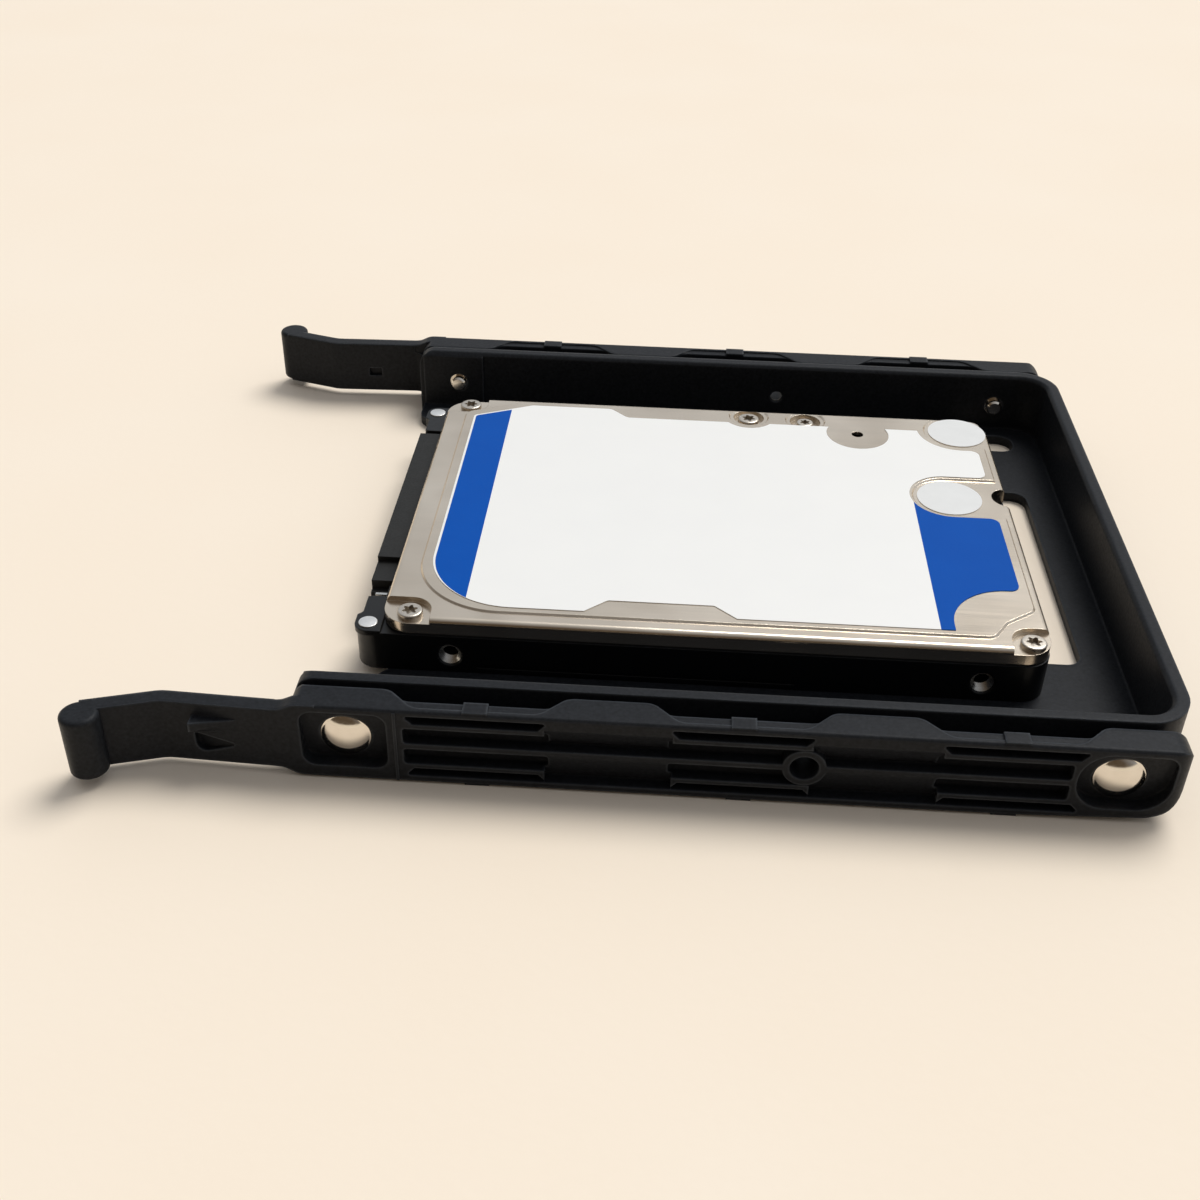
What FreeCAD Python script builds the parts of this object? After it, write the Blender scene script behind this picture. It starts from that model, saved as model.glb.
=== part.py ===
import FreeCAD, Part
import math
import os

V = FreeCAD.Vector

# How far a cut runs past the faces that it opens, and how near two places count as one
over = 1.0
near = 0.001

# Driving dimensions in millimetres. X runs from the spring arms to the closed end, Y across the
# tray, Z up from the table. The origin lies on the table under the middle of the overall box.
# Front is the arm end, left is +Y.

# Tray shell
inner_width = 99.4
wall = 2.1
rim_height = 12.6
rim_chamfer = 0.5
wall_end_round = 3.0
floor_thick = 1.75
floor_setback = 12.8
floor_corner = 2.5
floor_slant = 19.1
floor_nose = 5.2
floor_nose_setback = 0.6
corner_inside = 4.5
pad_length = 12.2
pad_setback = 0.8
pad_inside = 0.3

# Floor openings
window_rear_margin = 5.6
window_web = 11.0
window_corner = 2.5
screw_land = 5.6
slot_from_wall = 3.2
slot_width = 6.0
slot_length = 10.0
slot_end_margin = 4.7

# Guide rails
rail_length = 117.9
end_overhang = 1.4
rail_gap = 3.1
rail_plate = 2.4
rail_bottom = 0.4
rail_top = 12.2
rail_edge = 0.35
rail_sweep = 7.0
rail_lift = 0.75
rail_rear_round = 3.0
rail_inner_round = 2.5
rail_top_round = 2.6
top_step = 0.25
top_lip = 0.9

# Ribs and slots of a rail, repeated along it
gap_pitch = 35.0
gap_length = 19.6
gap_slant = 2.0
gap_corner = 2.5
tab_round = 2.5
pattern_shift = 1.05
slot_margin = 0.85
thin_slot = 1.35
slot_rib = 0.7
centre_rib = 0.85
slot_end = 0.2
slot_corner = 0.5
thin_slot_corner = 0.3
recess_depth = 2.0
recess_brow = 1.9
tab_groove = 1.0
tab_groove_depth = 1.0
bump_length = 3.3
bump_rise = 0.15
bump_setback = 0.15
boss_offset = 8.2
boss_diameter = 5.8
boss_bore = 3.9
boss_pilot = 2.2
witness_width = 0.4
witness_rise = 0.12

# Pin pockets and pins
pin_spacing = 101.6
pin_inset = 8.8
pin_height = 6.5
pin_shank = 3.4
pin_tip = 2.8
pin_tip_bevel = 0.42
pin_reach = 1.4
pin_head = 6.3
pin_head_edge = 0.35
pin_head_dome = 2.2
pin_seat_depth = 2.9
pin_head_clearance = 0.35
pin_fit = 0.05
pocket_sill = 1.8
pocket_head = 1.0
pocket_depth = 2.3
pocket_depth_top = 0.8
pocket_half = 5.75
pocket_corner = 1.8
pocket_rear_half = 6.6
pocket_arc = 4.2

# Spring arms
arm_reach = 29.1
arm_thick = 2.3
arm_rise = 1.1
arm_drop = 1.0
arm_straight = 17.0
arm_toe_distance = 0.7
arm_flare = 17.0
arm_bend_round = 5.0
arm_root_round = 1.8
roll_diameter = 5.2
roll_edge = 0.6
neck_length = 1.9
neck_back = 1.9
catch_setback = 12.7
catch_length = 6.0
catch_reach = 2.0
catch_edge = 1.35
catch_foot = 5.0
catch_brow = 1.9
catch_lean = 0.34
catch_root = 0.58
catch_hollow = 1.3
catch_hollow_sill = 1.3
catch_hollow_height = 3.6
catch_hollow_round = 1.2
dimple_width = 2.4
dimple_height = 1.6
dimple_depth = 0.8

# Drive envelope and its standard fixing holes
drive_length = 100.2
drive_width = 69.85
drive_height = 9.5
drive_rear_gap = 12.8
hole_from_front = 14.0
hole_spacing = 76.6
side_hole_height = 3.0
bottom_hole_inset = 4.065
hole_web = 0.4
bottom_hole_depth = 3.0
thread_bore = 3.0
side_hole_flare = 0.45

# Screws that hold the drive to the tray floor
screw_fit = 0.05
screw_pass = 0.25
screw_head = 5.4
screw_head_height = 1.4
screw_grip = 2.4

# Cast drive base
base_height = 6.3
ear_height = 6.65
ear_length = 4.1
ear_inner = 26.0
ear_round = 3.2
ear_step = 0.7
ear_step_side = 4.0
base_rear_round = 4.0
base_wall = 1.6
cavity_floor = 3.7
cavity_round = 5.0
hole_boss = 3.2
hole_boss_depth = 4.9
board_recess = 2.6
seam_height = 0.95
seam_width = 0.25
seam_depth = 0.3
seam_from_front = 18.0
seam_length = 46.0
ear_spot = 2.7
ear_spot_from_front = 1.9
ear_spot_side = 2.1
ear_spot_rise = 0.15

# Drawn sheet cover
sheet = 0.5
cover_inset = 0.1
cover_clearance = 0.1
cover_round = 4.2
cover_edge = 0.9
gasket_thick = 0.3
gasket_width = 1.3
plateau_rise = 0.3
plateau_front = 3.6
plateau_side = 2.4
plateau_rear = 1.3
plateau_far = 1.2
plateau_sweep = 13.0
plateau_corner = 2.0
plateau_seal_gap = 0.6
plateau_edge = 0.28
plateau_dip = 3.0
plateau_dip_front = 5.4
plateau_dip_x = 3.1
plateau_dip_y = 3.8
plateau_dip_side = 7.2
plateau_well_gap = 0.6
well_radius = 2.7
well_depth = 0.85
dent_reach = 3.1
cover_screw_front = 4.0
cover_screw_rear = 2.9
cover_screw_side = 2.5
middle_screw_x = 58.1
middle_screw_side = 3.1
small_screw_x = 68.1
small_screw_side = 3.7
cover_screw_head = 3.7
cover_screw_head_height = 0.8
cover_screw_bevel = 0.3
small_screw_head = 2.9
cover_screw_shank = 1.5
cover_screw_length = 3.0
cover_screw_fit = 0.05
cover_post = 1.9
notch_y = 7.6
notch_radius = 2.8
breather_x = 77.0
breather_side = 8.1
breather_bore = 2.0

# Label and round seals on the cover
label_thick = 0.1
label_border = 0.35
label_corner_round = 1.5
label_front = 9.4
label_rear = 97.3
label_near_margin = 3.7
label_far_margin = 2.9
label_far_step = 3.0
label_step_x = 35.0
label_sweep = 13.0
label_bevel = 10.0
label_bevel_drop = 4.6
label_notch_x = 44.2
label_notch_top = 15.5
label_notch_slope = 3.3
label_notch_depth = 3.0
label_band_x = 15.8
label_field_x = 84.3
label_field_top = 5.0
label_screw_clear = 4.6
label_breather_clear = 5.4
seal_thick = 0.12
seal_corner_diameter = 10.0
seal_corner_x = 94.6
seal_corner_side = 5.5
seal_corner_clear = 7.0
seal_side_diameter = 10.5
seal_side_x = 90.4
seal_side_y = 6.6
seal_side_clear = 6.5
label_corner_clear = 9.2
label_corner_x = 95.6
label_corner_side = 5.3

# Circuit board and connector
board_thick = 0.8
board_lift = 0.4
board_front_gap = 0.3
board_length = 58.0
board_width = 53.0
board_clear = 0.3
board_round = 2.0
chip_height = 1.1
controller_size = 12.8
memory_size = 8.1
driver_size = 7.5
chip_from_front = 9.3
driver_from_front = 26.7
controller_y = -7.0
memory_y = 9.3
driver_y = 18.6
board_screw_head = 3.2
board_screw_head_height = 0.4
board_screw_bevel = 0.32
board_screw_shank = 1.4
board_screw_inset = 3.4
connector_length = 40.3
connector_offset = 4.8
connector_depth = 4.0
connector_lift = 0.6
connector_wall = 1.0
connector_key = 14.5
tongue_end = 2.5
plug_end_length = 5.3
plug_end_drop = 0.9
plug_foot_length = 1.1
plug_foot_drop = 2.4
tongue_height = 1.3
tongue_gap = 1.1
contact_width = 0.7
contact_thick = 0.15
contact_pitch = 1.27
contact_count = 22
jumper_pitch = 2.0
jumper_size = 0.5
jumper_rows = 2
jumper_lift = 1.6

# Spindle with its platters
spindle_from_front = 41.6
motor_flange = 9.5
motor_sleeve = 3.0
bearing_gap = 0.06
hub_lift = 0.35
hub_radius = 9.9
hub_flange = 12.4
hub_flange_thick = 0.5
hub_top = 0.25
platter_share = 0.93
platter_gap = 0.7
platter_thick = 0.64
platter_spacing = 1.7
platter_fit = 0.1
clamp_thick = 0.6
clamp_screw_count = 6
clamp_screw_radius = 0.8
clamp_screw_circle = 8.0
clamp_screw_head = 0.35
clamp_screw_grip = 1.2

# Head actuator beside the platters
pivot_radius = 2.2
pivot_foot = 3.5
actuator_hub = 4.2
actuator_reach = 31.0
park_gap = 1.78
actuator_lift = 0.2
head_arm_thick = 0.45
head_arm_root = 3.4
head_arm_tip = 1.1
slider_length = 1.4
slider_width = 1.2
slider_thick = 0.15
coil_inner = 8.5
coil_outer = 18.5
coil_half_angle = 17.0
coil_lift = 1.9
coil_thick = 1.1
coil_wire = 2.4
coil_fork = 1.2
coil_fork_short = 1.85
coil_fit_angle = 0.2
yoke_inner = 7.5
yoke_outer = 20.3
yoke_side_gap = 1.0
yoke_swing_angle = 60.0
yoke_park_angle = 22.0
yoke_thick = 0.8
magnet_gap = 0.35
magnet_rim = 1.5
yoke_post_diameter = 1.4
yoke_post_inset = 1.8
ramp_length = 5.0
ramp_width = 3.6
ramp_height = 4.0
ramp_from_pivot = 33.3
flex_length = 9.0
flex_width = 6.0
flex_height = 2.2
flex_corner = 0.75
flex_from_rear = 14.5
flex_y = -12.0

# Places worked out from the driving dimensions
overall_length = arm_reach + rail_length + end_overhang
tip_x = -overall_length / 2
rail_front = tip_x + arm_reach
rail_rear = rail_front + rail_length
end_out = rail_rear + end_overhang
end_in = end_out - wall
floor_front = rail_front + floor_setback
half_in = inner_width / 2
half_wall = half_in + wall
half_plate = half_wall + rail_gap
half_out = half_plate + rail_plate
rail_height = rail_top - rail_bottom
rail_middle = (rail_top + rail_bottom) / 2
main_slot = (rail_height - centre_rib) / 2 - slot_margin - thin_slot - slot_rib
pattern_x = (rail_front + rail_rear) / 2 + pattern_shift
gap_centres = [pattern_x + k * gap_pitch for k in (-1, 0, 1)]
boss_x = gap_centres[1] + boss_offset
pin_rear = rail_rear - pin_inset
pin_front = pin_rear - pin_spacing
pin_seat = half_out - pin_seat_depth
arm_bottom = rail_bottom + arm_rise
arm_top = rail_top - arm_drop

drive_rear = end_in - drive_rear_gap
drive_front = drive_rear - drive_length
drive_half = drive_width / 2
drive_bottom = floor_thick
drive_top = drive_bottom + drive_height
bottom_hole_width = drive_width - 2 * bottom_hole_inset
side_hole_depth = bottom_hole_inset - thread_bore / 2 - hole_web
hole_xs = [drive_front + hole_from_front, drive_front + hole_from_front + hole_spacing]
base_top = drive_bottom + base_height
cavity_z = drive_bottom + cavity_floor
cover_front = drive_front + ear_length
cover_rear = drive_rear - cover_inset
cover_half = drive_half - cover_inset
cover_low = base_top + gasket_thick
plateau_top = drive_top - label_thick
flange_top = plateau_top - plateau_rise
well_floor = flange_top - well_depth
breather_y = drive_half - breather_side
label_near = drive_half - label_near_margin
label_far = drive_half - label_far_margin
seal_corner_y = drive_half - seal_corner_side
label_corner_y = -drive_half + label_corner_side
spindle_x = drive_front + spindle_from_front
platter_low = cavity_z + hub_lift + hub_flange_thick
platter_high = platter_low + platter_thick + platter_spacing
platter_radius = drive_half * platter_share

# The actuator's pivot stands clear of the platters and its magnets clear of the side of the base.
# Parked, the ends of its arms stand just outside the platters.
pivot_distance = platter_radius + actuator_hub + platter_gap
pivot_y = drive_half - base_wall - yoke_outer - yoke_side_gap
pivot_x = math.sqrt(pivot_distance ** 2 - pivot_y ** 2)
actuator_x = spindle_x + pivot_x
parked = platter_radius + park_gap
arms_share = (pivot_distance ** 2 + actuator_reach ** 2 - parked ** 2) / (2 * pivot_distance * actuator_reach)
park_angle = 180.0 + math.degrees(math.atan2(pivot_y, pivot_x) + math.acos(arms_share))

# Cover screws, front to rear: four corners, the middle one and the small one on the left edge
corner_y = drive_half - cover_screw_side
cover_screw_places = [
    (cover_front + cover_screw_front, -corner_y),
    (cover_front + cover_screw_front, corner_y),
    (drive_rear - cover_screw_rear, -corner_y),
    (drive_rear - cover_screw_rear, corner_y),
    (drive_front + middle_screw_x, drive_half - middle_screw_side),
    (drive_front + small_screw_x, drive_half - small_screw_side),
]


# Shape helpers

def block(x0, x1, y0, y1, z0, z1):
    return Part.makeBox(x1 - x0, y1 - y0, z1 - z0, V(x0, y0, z0))


def post(x, y, z0, z1, radius):
    return Part.makeCylinder(radius, z1 - z0, V(x, y, z0))


def cross_bore(x, z, y0, y1, radius):
    return Part.makeCylinder(radius, y1 - y0, V(x, y0, z), V(0, 1, 0))


def outline(corners):
    """Closed wire in the XY plane through (x, y, radius) corners; a radius is limited by its sides."""
    points = [V(x, y, 0) for x, y, radius in corners]
    count = len(points)
    stations = []
    for i, (x, y, radius) in enumerate(corners):
        here = points[i]
        back = points[i - 1] - here
        ahead = points[(i + 1) % count] - here
        half_angle = back.getAngle(ahead) / 2
        reach = min(radius / math.tan(half_angle), 0.49 * back.Length, 0.49 * ahead.Length)
        if reach < near:
            stations.append((here, None, here))
            continue
        true_radius = reach * math.tan(half_angle)
        back.normalize()
        ahead.normalize()
        inward = (back + ahead).normalize()
        middle = here + inward * (true_radius / math.sin(half_angle) - true_radius)
        stations.append((here + back * reach, middle, here + ahead * reach))
    edges = []
    for i, (first, middle, last) in enumerate(stations):
        if middle is not None:
            edges.append(Part.Arc(first, middle, last).toShape())
        following = stations[(i + 1) % count][0]
        if last.distanceToPoint(following) > near:
            edges.append(Part.makeLine(last, following))
    return Part.Wire(edges)


def prism(corners, z0, z1):
    """Plan outline raised from z0 to z1."""
    face = Part.Face(outline(corners))
    face.translate(V(0, 0, z0))
    return face.extrude(V(0, 0, z1 - z0))


def side_plate(corners, y0, y1):
    """Outline in X and Z, given as (x, z, radius), carried across from y0 to y1."""
    face = Part.Face(outline(corners))
    face.rotate(V(0, 0, 0), V(1, 0, 0), 90)
    face.translate(V(0, y0, 0))
    return face.extrude(V(0, y1 - y0, 0))


def bar(section, x0, x1):
    """Section in Y and Z, given as (y, z) points, carried along from x0 to x1."""
    points = [V(x0, y, z) for y, z in section]
    face = Part.Face(Part.makePolygon(points + points[:1]))
    return face.extrude(V(x1 - x0, 0, 0))


def rectangle(x0, x1, y0, y1, radius):
    return [(x0, y0, radius), (x1, y0, radius), (x1, y1, radius), (x0, y1, radius)]


def turned(profile, base, axis):
    """Solid of revolution; the profile is (radius, height) points from the base along the axis."""
    wire = Part.makePolygon([V(r, 0, h) for r, h in profile + profile[:1]])
    solid = Part.Face(wire).revolve(V(0, 0, 0), V(0, 0, 1), 360)
    solid.Placement = FreeCAD.Placement(base, FreeCAD.Rotation(V(0, 0, 1), axis))
    return solid


def sector(x, y, inner, outer, first, last, z0, z1):
    """Part of a ring about (x, y) between two angles in degrees."""
    def at(radius, angle):
        turn = math.radians(angle)
        return V(x + radius * math.cos(turn), y + radius * math.sin(turn), z0)
    middle = (first + last) / 2
    edges = [
        Part.Arc(at(outer, first), at(outer, middle), at(outer, last)).toShape(),
        Part.makeLine(at(outer, last), at(inner, last)),
        Part.Arc(at(inner, last), at(inner, middle), at(inner, first)).toShape(),
        Part.makeLine(at(inner, first), at(outer, first)),
    ]
    return Part.Face(Part.Wire(edges)).extrude(V(0, 0, z1 - z0))


def joined(shapes):
    return shapes[0].fuse(shapes[1:]).removeSplitter()


def group(shapes):
    return Part.Compound(shapes)


def mirrored(shape):
    return shape.mirror(V(0, 0, 0), V(0, 1, 0))


# Tray

def shell():
    """Floor, two side walls and the end wall, with a lead-in chamfer round the inside of the rim."""
    outer = prism([
        (rail_front, -half_wall, 0),
        (end_out, -half_wall, corner_inside + wall),
        (end_out, half_wall, corner_inside + wall),
        (rail_front, half_wall, 0),
    ], 0, rim_height)
    well = [
        (rail_front - wall, -half_in, 0),
        (end_in, -half_in, corner_inside),
        (end_in, half_in, corner_inside),
        (rail_front - wall, half_in, 0),
    ]
    tub = outer.cut(prism(well, floor_thick, rim_height + wall))
    rim_edges = [
        edge for edge in tub.Edges
        if abs(edge.BoundBox.ZMin - rim_height) < near
        and edge.BoundBox.ZLength < near
        and abs(edge.CenterOfMass.y) < half_in + near
        and edge.BoundBox.XMax < end_in + near
        and edge.BoundBox.XMin > rail_front - near
        and edge.BoundBox.XLength + edge.BoundBox.YLength > 2 * wall
    ]
    tub = tub.makeChamfer(rim_chamfer, rim_edges)
    nose_x = rail_front + floor_nose_setback
    nose_y = half_in - floor_nose
    slant_y = half_in - floor_slant
    front = prism([
        (rail_front - over, -half_in, 0),
        (nose_x, -half_in, 0),
        (nose_x, -nose_y, floor_corner),
        (floor_front, -slant_y, floor_corner),
        (floor_front, slant_y, floor_corner),
        (nose_x, nose_y, floor_corner),
        (nose_x, half_in, 0),
        (rail_front - over, half_in, 0),
    ], -over, floor_thick + near)
    return tub.cut(front)


def floor_openings():
    """Two windows under the drive, a slot in each rear corner and the drive's screw holes."""
    window_half = bottom_hole_width / 2 - screw_land
    window_rear = end_in - window_rear_margin
    front_edge = hole_xs[0] + screw_land
    middle = (front_edge + hole_xs[1] - screw_land) / 2
    spans = [(front_edge, middle - window_web / 2), (middle + window_web / 2, window_rear)]
    cuts = [
        prism(rectangle(x0, x1, -window_half, window_half, window_corner), -wall, floor_thick + wall)
        for x0, x1 in spans
    ]
    slot_rear = end_in - slot_end_margin
    slot_y = half_in - slot_from_wall
    slot = rectangle(slot_rear - slot_length, slot_rear, slot_y - slot_width, slot_y, window_corner)
    left_slot = prism(slot, -wall, floor_thick + wall)
    cuts += [left_slot, mirrored(left_slot)]
    pass_radius = thread_bore / 2 + screw_pass
    head_radius = screw_head / 2 + screw_pass
    for x in hole_xs:
        for y in (-bottom_hole_width / 2, bottom_hole_width / 2):
            cuts.append(post(x, y, -wall, floor_thick + wall, pass_radius))
            cuts.append(Part.makeCone(head_radius, pass_radius, screw_head_height, V(x, y, 0)))
    return cuts


def rail_body():
    """Left rail before its slots: the outer plate, tied to the wall by blocks under four round tabs."""
    side = side_plate([
        (rail_front, rail_bottom, 0),
        (gap_centres[2], rail_bottom, 0),
        (rail_rear, rail_bottom + rail_lift, rail_sweep),
        (rail_rear, rail_top, rail_top_round),
        (rail_front, rail_top, 0),
    ], half_in + wall / 2, half_out)
    wall_rear = end_out - wall - corner_inside
    plan = prism([
        (rail_front, half_in, 0),
        (wall_rear, half_in, 0),
        (wall_rear, half_wall, 0),
        (rail_rear, half_wall, rail_inner_round),
        (rail_rear, half_out, rail_rear_round),
        (rail_front, half_out, 0),
    ], 0, rail_top)
    body = side.common(plan)
    half = gap_length / 2
    wide = half + gap_slant
    ends = wide + 2 * tab_round
    tab_y = half_wall + tab_groove
    lip_y = half_out - top_lip
    lip_run = gap_slant * (lip_y - half_plate) / (half_plate - tab_y)
    cuts = [block(
        rail_front - over, end_out, half_wall, tab_y, rail_top - tab_groove_depth, rim_height)]
    for centre in gap_centres:
        cuts.append(prism([
            (centre - wide - tab_groove, half_wall, 0),
            (centre + wide + tab_groove, half_wall, 0),
            (centre + half, half_plate, gap_corner),
            (centre - half, half_plate, gap_corner),
        ], 0, rim_height))
        for depth, y, run in ((tab_groove_depth, half_plate, 0), (top_step, lip_y, lip_run)):
            cuts.append(prism([
                (centre - ends, half_wall, 0),
                (centre + ends, half_wall, 0),
                (centre + ends, tab_y, 0),
                (centre + wide, tab_y, tab_round),
                (centre + half - run, y, gap_corner),
                (centre - half + run, y, gap_corner),
                (centre - wide, tab_y, tab_round),
                (centre - ends, tab_y, 0),
            ], rail_top - depth, rim_height))
    edge_cut = bar([
        (half_out - rail_edge, rail_top),
        (half_out, rail_top),
        (half_out, rail_top - rail_edge),
    ], rail_front - wall, rail_rear + wall)
    cuts.append(edge_cut)
    return body.cut(cuts)


def boss_barrel():
    return cross_bore(boss_x, rail_middle, half_wall - wall / 2, half_out + 2 * over, boss_diameter / 2)


def rail_slots():
    """Four rows of blind slots in each lattice, clear of the boss; the thin outer rows have slanted ends."""
    cuts = []
    boss = boss_barrel()
    inner_edge = centre_rib / 2
    outer_edge = inner_edge + main_slot
    thin_start = outer_edge + slot_rib
    thin_end = thin_start + thin_slot
    half = gap_length / 2 - slot_end
    for centre in gap_centres:
        main_rear = min(centre + half, pin_rear - pocket_half - slot_rib)
        for sign in (-1, 1):
            main = [
                (centre - half, rail_middle + sign * inner_edge, slot_corner),
                (main_rear, rail_middle + sign * inner_edge, slot_corner),
                (main_rear, rail_middle + sign * outer_edge, slot_corner),
                (centre - half, rail_middle + sign * outer_edge, slot_corner),
            ]
            thin = [
                (centre - half + thin_slot, rail_middle + sign * thin_start, thin_slot_corner),
                (centre + half - thin_slot, rail_middle + sign * thin_start, thin_slot_corner),
                (centre + half, rail_middle + sign * thin_end, thin_slot_corner),
                (centre - half, rail_middle + sign * thin_end, thin_slot_corner),
            ]
            for row in (main, thin):
                cuts.append(side_plate(row, half_out - recess_depth, half_out + over).cut(boss))
    return cuts


def rail_recesses():
    """Hollows that join the lattices, each leaning inwards to a flat sill, above and below the rib."""
    cuts = []
    boss = boss_barrel()
    half = gap_length / 2 - slot_end - slot_corner
    top = rail_top - recess_brow
    rib_top = rail_middle + centre_rib / 2
    rib_bottom = rail_middle - centre_rib / 2
    sill = rail_bottom + slot_margin
    for before, after in zip(gap_centres, gap_centres[1:]):
        for high, low in ((top, rib_top), (rib_bottom, sill)):
            hollow = bar([
                (half_out, high), (half_out + over, high),
                (half_out + over, low), (half_out - recess_depth, low),
            ], before + half, after - half)
            cuts.append(hollow.cut(boss))
    return cuts


def pin_pockets():
    """Hollows round the pin heads, deeper towards the sill, with the head's counterbore and shank bore."""
    low = rail_bottom + pocket_sill
    high = rail_top - pocket_head
    slope = bar([
        (half_out + wall, low - wall),
        (half_out - pocket_depth, low - wall),
        (half_out - pocket_depth, low),
        (half_out - pocket_depth_top, high),
        (half_out - pocket_depth_top, high + wall),
        (half_out + wall, high + wall),
    ], rail_front - wall, rail_rear + wall)
    front = rectangle(pin_front - pocket_half, pin_front + pocket_half, low, high, pocket_corner)
    rear = [
        (pin_rear - pocket_half, low, pocket_arc),
        (pin_rear + pocket_rear_half, low, pocket_arc),
        (pin_rear + pocket_rear_half, high, pocket_corner),
        (pin_rear - pocket_half, high, pocket_arc),
    ]
    cuts = []
    for corners in (front, rear):
        cuts.append(side_plate(corners, half_plate - rail_gap, half_out + wall).common(slope))
    for x in (pin_front, pin_rear):
        cuts.append(cross_bore(x, pin_height, pin_seat, half_out + wall, pin_head / 2 + pin_head_clearance))
        cuts.append(cross_bore(x, pin_height, half_in - wall, half_out, pin_shank / 2 + pin_fit))
    return cuts


def rail_additions():
    """Guide bumps over and under the rail, the screw boss, the mould witness line and the wall's pad."""
    pieces = []
    for centre in gap_centres:
        x0 = centre - bump_length / 2
        x1 = centre + bump_length / 2
        y1 = half_out - bump_setback
        pieces.append(block(x0, x1, half_plate, y1, rail_top - top_step - bump_rise, rail_top + bump_rise))
        pieces.append(block(x0, x1, half_plate, y1, 0, rail_bottom + slot_margin / 2))
    barrel = cross_bore(boss_x, rail_middle, half_wall - wall / 2, half_out, boss_diameter / 2)
    pieces.append(barrel)
    witness_x = gap_centres[0] - gap_length / 2 - slot_end - witness_width
    pieces.append(block(
        witness_x - witness_width, witness_x,
        half_plate, half_out + witness_rise, rail_bottom, rail_top - rail_edge))
    pieces.append(bar([
        (half_wall - wall / 2, floor_thick / 2),
        (half_in - pad_inside, floor_thick / 2),
        (half_in - pad_inside, rim_height - rim_chamfer - pad_inside),
        (half_in, rim_height - rim_chamfer),
        (half_wall - wall / 2, rim_height - rim_chamfer),
    ], rail_front + pad_setback, rail_front + pad_length))
    return pieces


def front_rounds():
    """What is taken off at the front of a rail: the top corner, and the shoulders of the arm's neck."""
    x = rail_front + wall_end_round
    z = rim_height - wall_end_round
    y = half_in - pad_inside - over
    inner = half_out - arm_thick
    corner = block(rail_front - arm_root_round, x, y, inner, z, rim_height + over)
    corner = corner.cut(cross_bore(x, z, y - over, inner + over, wall_end_round))
    neck = block(rail_front, rail_front + neck_back, inner, half_out + over, -over, rim_height)
    return [corner, neck.cut(arm_side())]


def arm_root():
    """Hollow round between the inner face of an arm and the front of the rail."""
    x = rail_front - arm_root_round
    inner = half_out - arm_thick
    y = inner - arm_root_round
    corner = block(x, rail_front + wall, y, inner + arm_thick / 2, arm_bottom, arm_top)
    return corner.cut(post(x, y, arm_bottom - over, arm_top + over, arm_root_round))


def spring_arm():
    """Blade that toes in, flares beyond its bend and ends in a rolled finger bar; latch tooth outside."""
    flare = math.radians(arm_flare)
    roll = roll_diameter / 2
    bend_x = rail_front - arm_straight
    toe = math.atan(arm_toe_distance / arm_straight)
    first_normal = V(math.sin(toe), -math.cos(toe), 0)
    second_normal = V(-math.sin(flare), -math.cos(flare), 0)
    bend = V(bend_x, half_out - arm_toe_distance, 0)
    miter = (first_normal + second_normal) * (arm_thick / (1 + first_normal.dot(second_normal)))
    inner_bend = bend + miter
    roll_x = tip_x + roll
    inner_at_roll = inner_bend.y + (inner_bend.x - roll_x) * math.tan(flare)
    centre = V(roll_x, inner_at_roll + roll / math.cos(flare), 0)
    tangent = centre + second_normal * roll
    outer_end = centre + second_normal * (roll - arm_thick)
    root_x = rail_front + wall + neck_back
    plan = prism([
        (root_x, half_out - arm_thick, 0),
        (root_x, half_out, 0),
        (rail_front, half_out, 0),
        (bend.x, bend.y, arm_bend_round),
        (outer_end.x, outer_end.y, 0),
        (tangent.x, tangent.y, 0),
        (inner_bend.x, inner_bend.y, arm_bend_round),
        (rail_front, half_out - arm_thick, 0),
    ], rail_bottom, rail_top)
    finger = post(centre.x, centre.y, arm_bottom, arm_top, roll)
    finger = finger.makeFillet(roll_edge, [e for e in finger.Edges if e.BoundBox.ZLength < near])
    return [plan.common(arm_side()), finger, latch_tooth(), arm_root()]


def arm_side():
    """Side view of an arm: rail height at the root, sweeping in to the lower blade at the neck."""
    root_x = rail_front + wall + neck_back
    neck_start = rail_front + neck_back
    neck_end = rail_front - neck_length
    neck_middle = (neck_start + neck_end) / 2

    def sweep(z0, z1):
        curve = Part.BezierCurve()
        ends = [(neck_start, z0), (neck_middle, z0), (neck_middle, z1), (neck_end, z1)]
        curve.setPoles([V(x, 0, z) for x, z in ends])
        return curve.toShape()

    wire = Part.Wire([
        Part.makeLine(V(root_x, 0, rail_bottom), V(root_x, 0, rail_top)),
        Part.makeLine(V(root_x, 0, rail_top), V(neck_start, 0, rail_top)),
        sweep(rail_top, arm_top),
        Part.makeLine(V(neck_end, 0, arm_top), V(tip_x, 0, arm_top)),
        Part.makeLine(V(tip_x, 0, arm_top), V(tip_x, 0, arm_bottom)),
        Part.makeLine(V(tip_x, 0, arm_bottom), V(neck_end, 0, arm_bottom)),
        sweep(rail_bottom, arm_bottom),
        Part.makeLine(V(neck_start, 0, rail_bottom), V(root_x, 0, rail_bottom)),
    ])
    return Part.Face(wire).extrude(V(0, 2 * half_out, 0))


def catch_face(x):
    """Outer face of the toed-in blade at x."""
    return half_out - arm_toe_distance * (rail_front - x) / arm_straight


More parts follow.
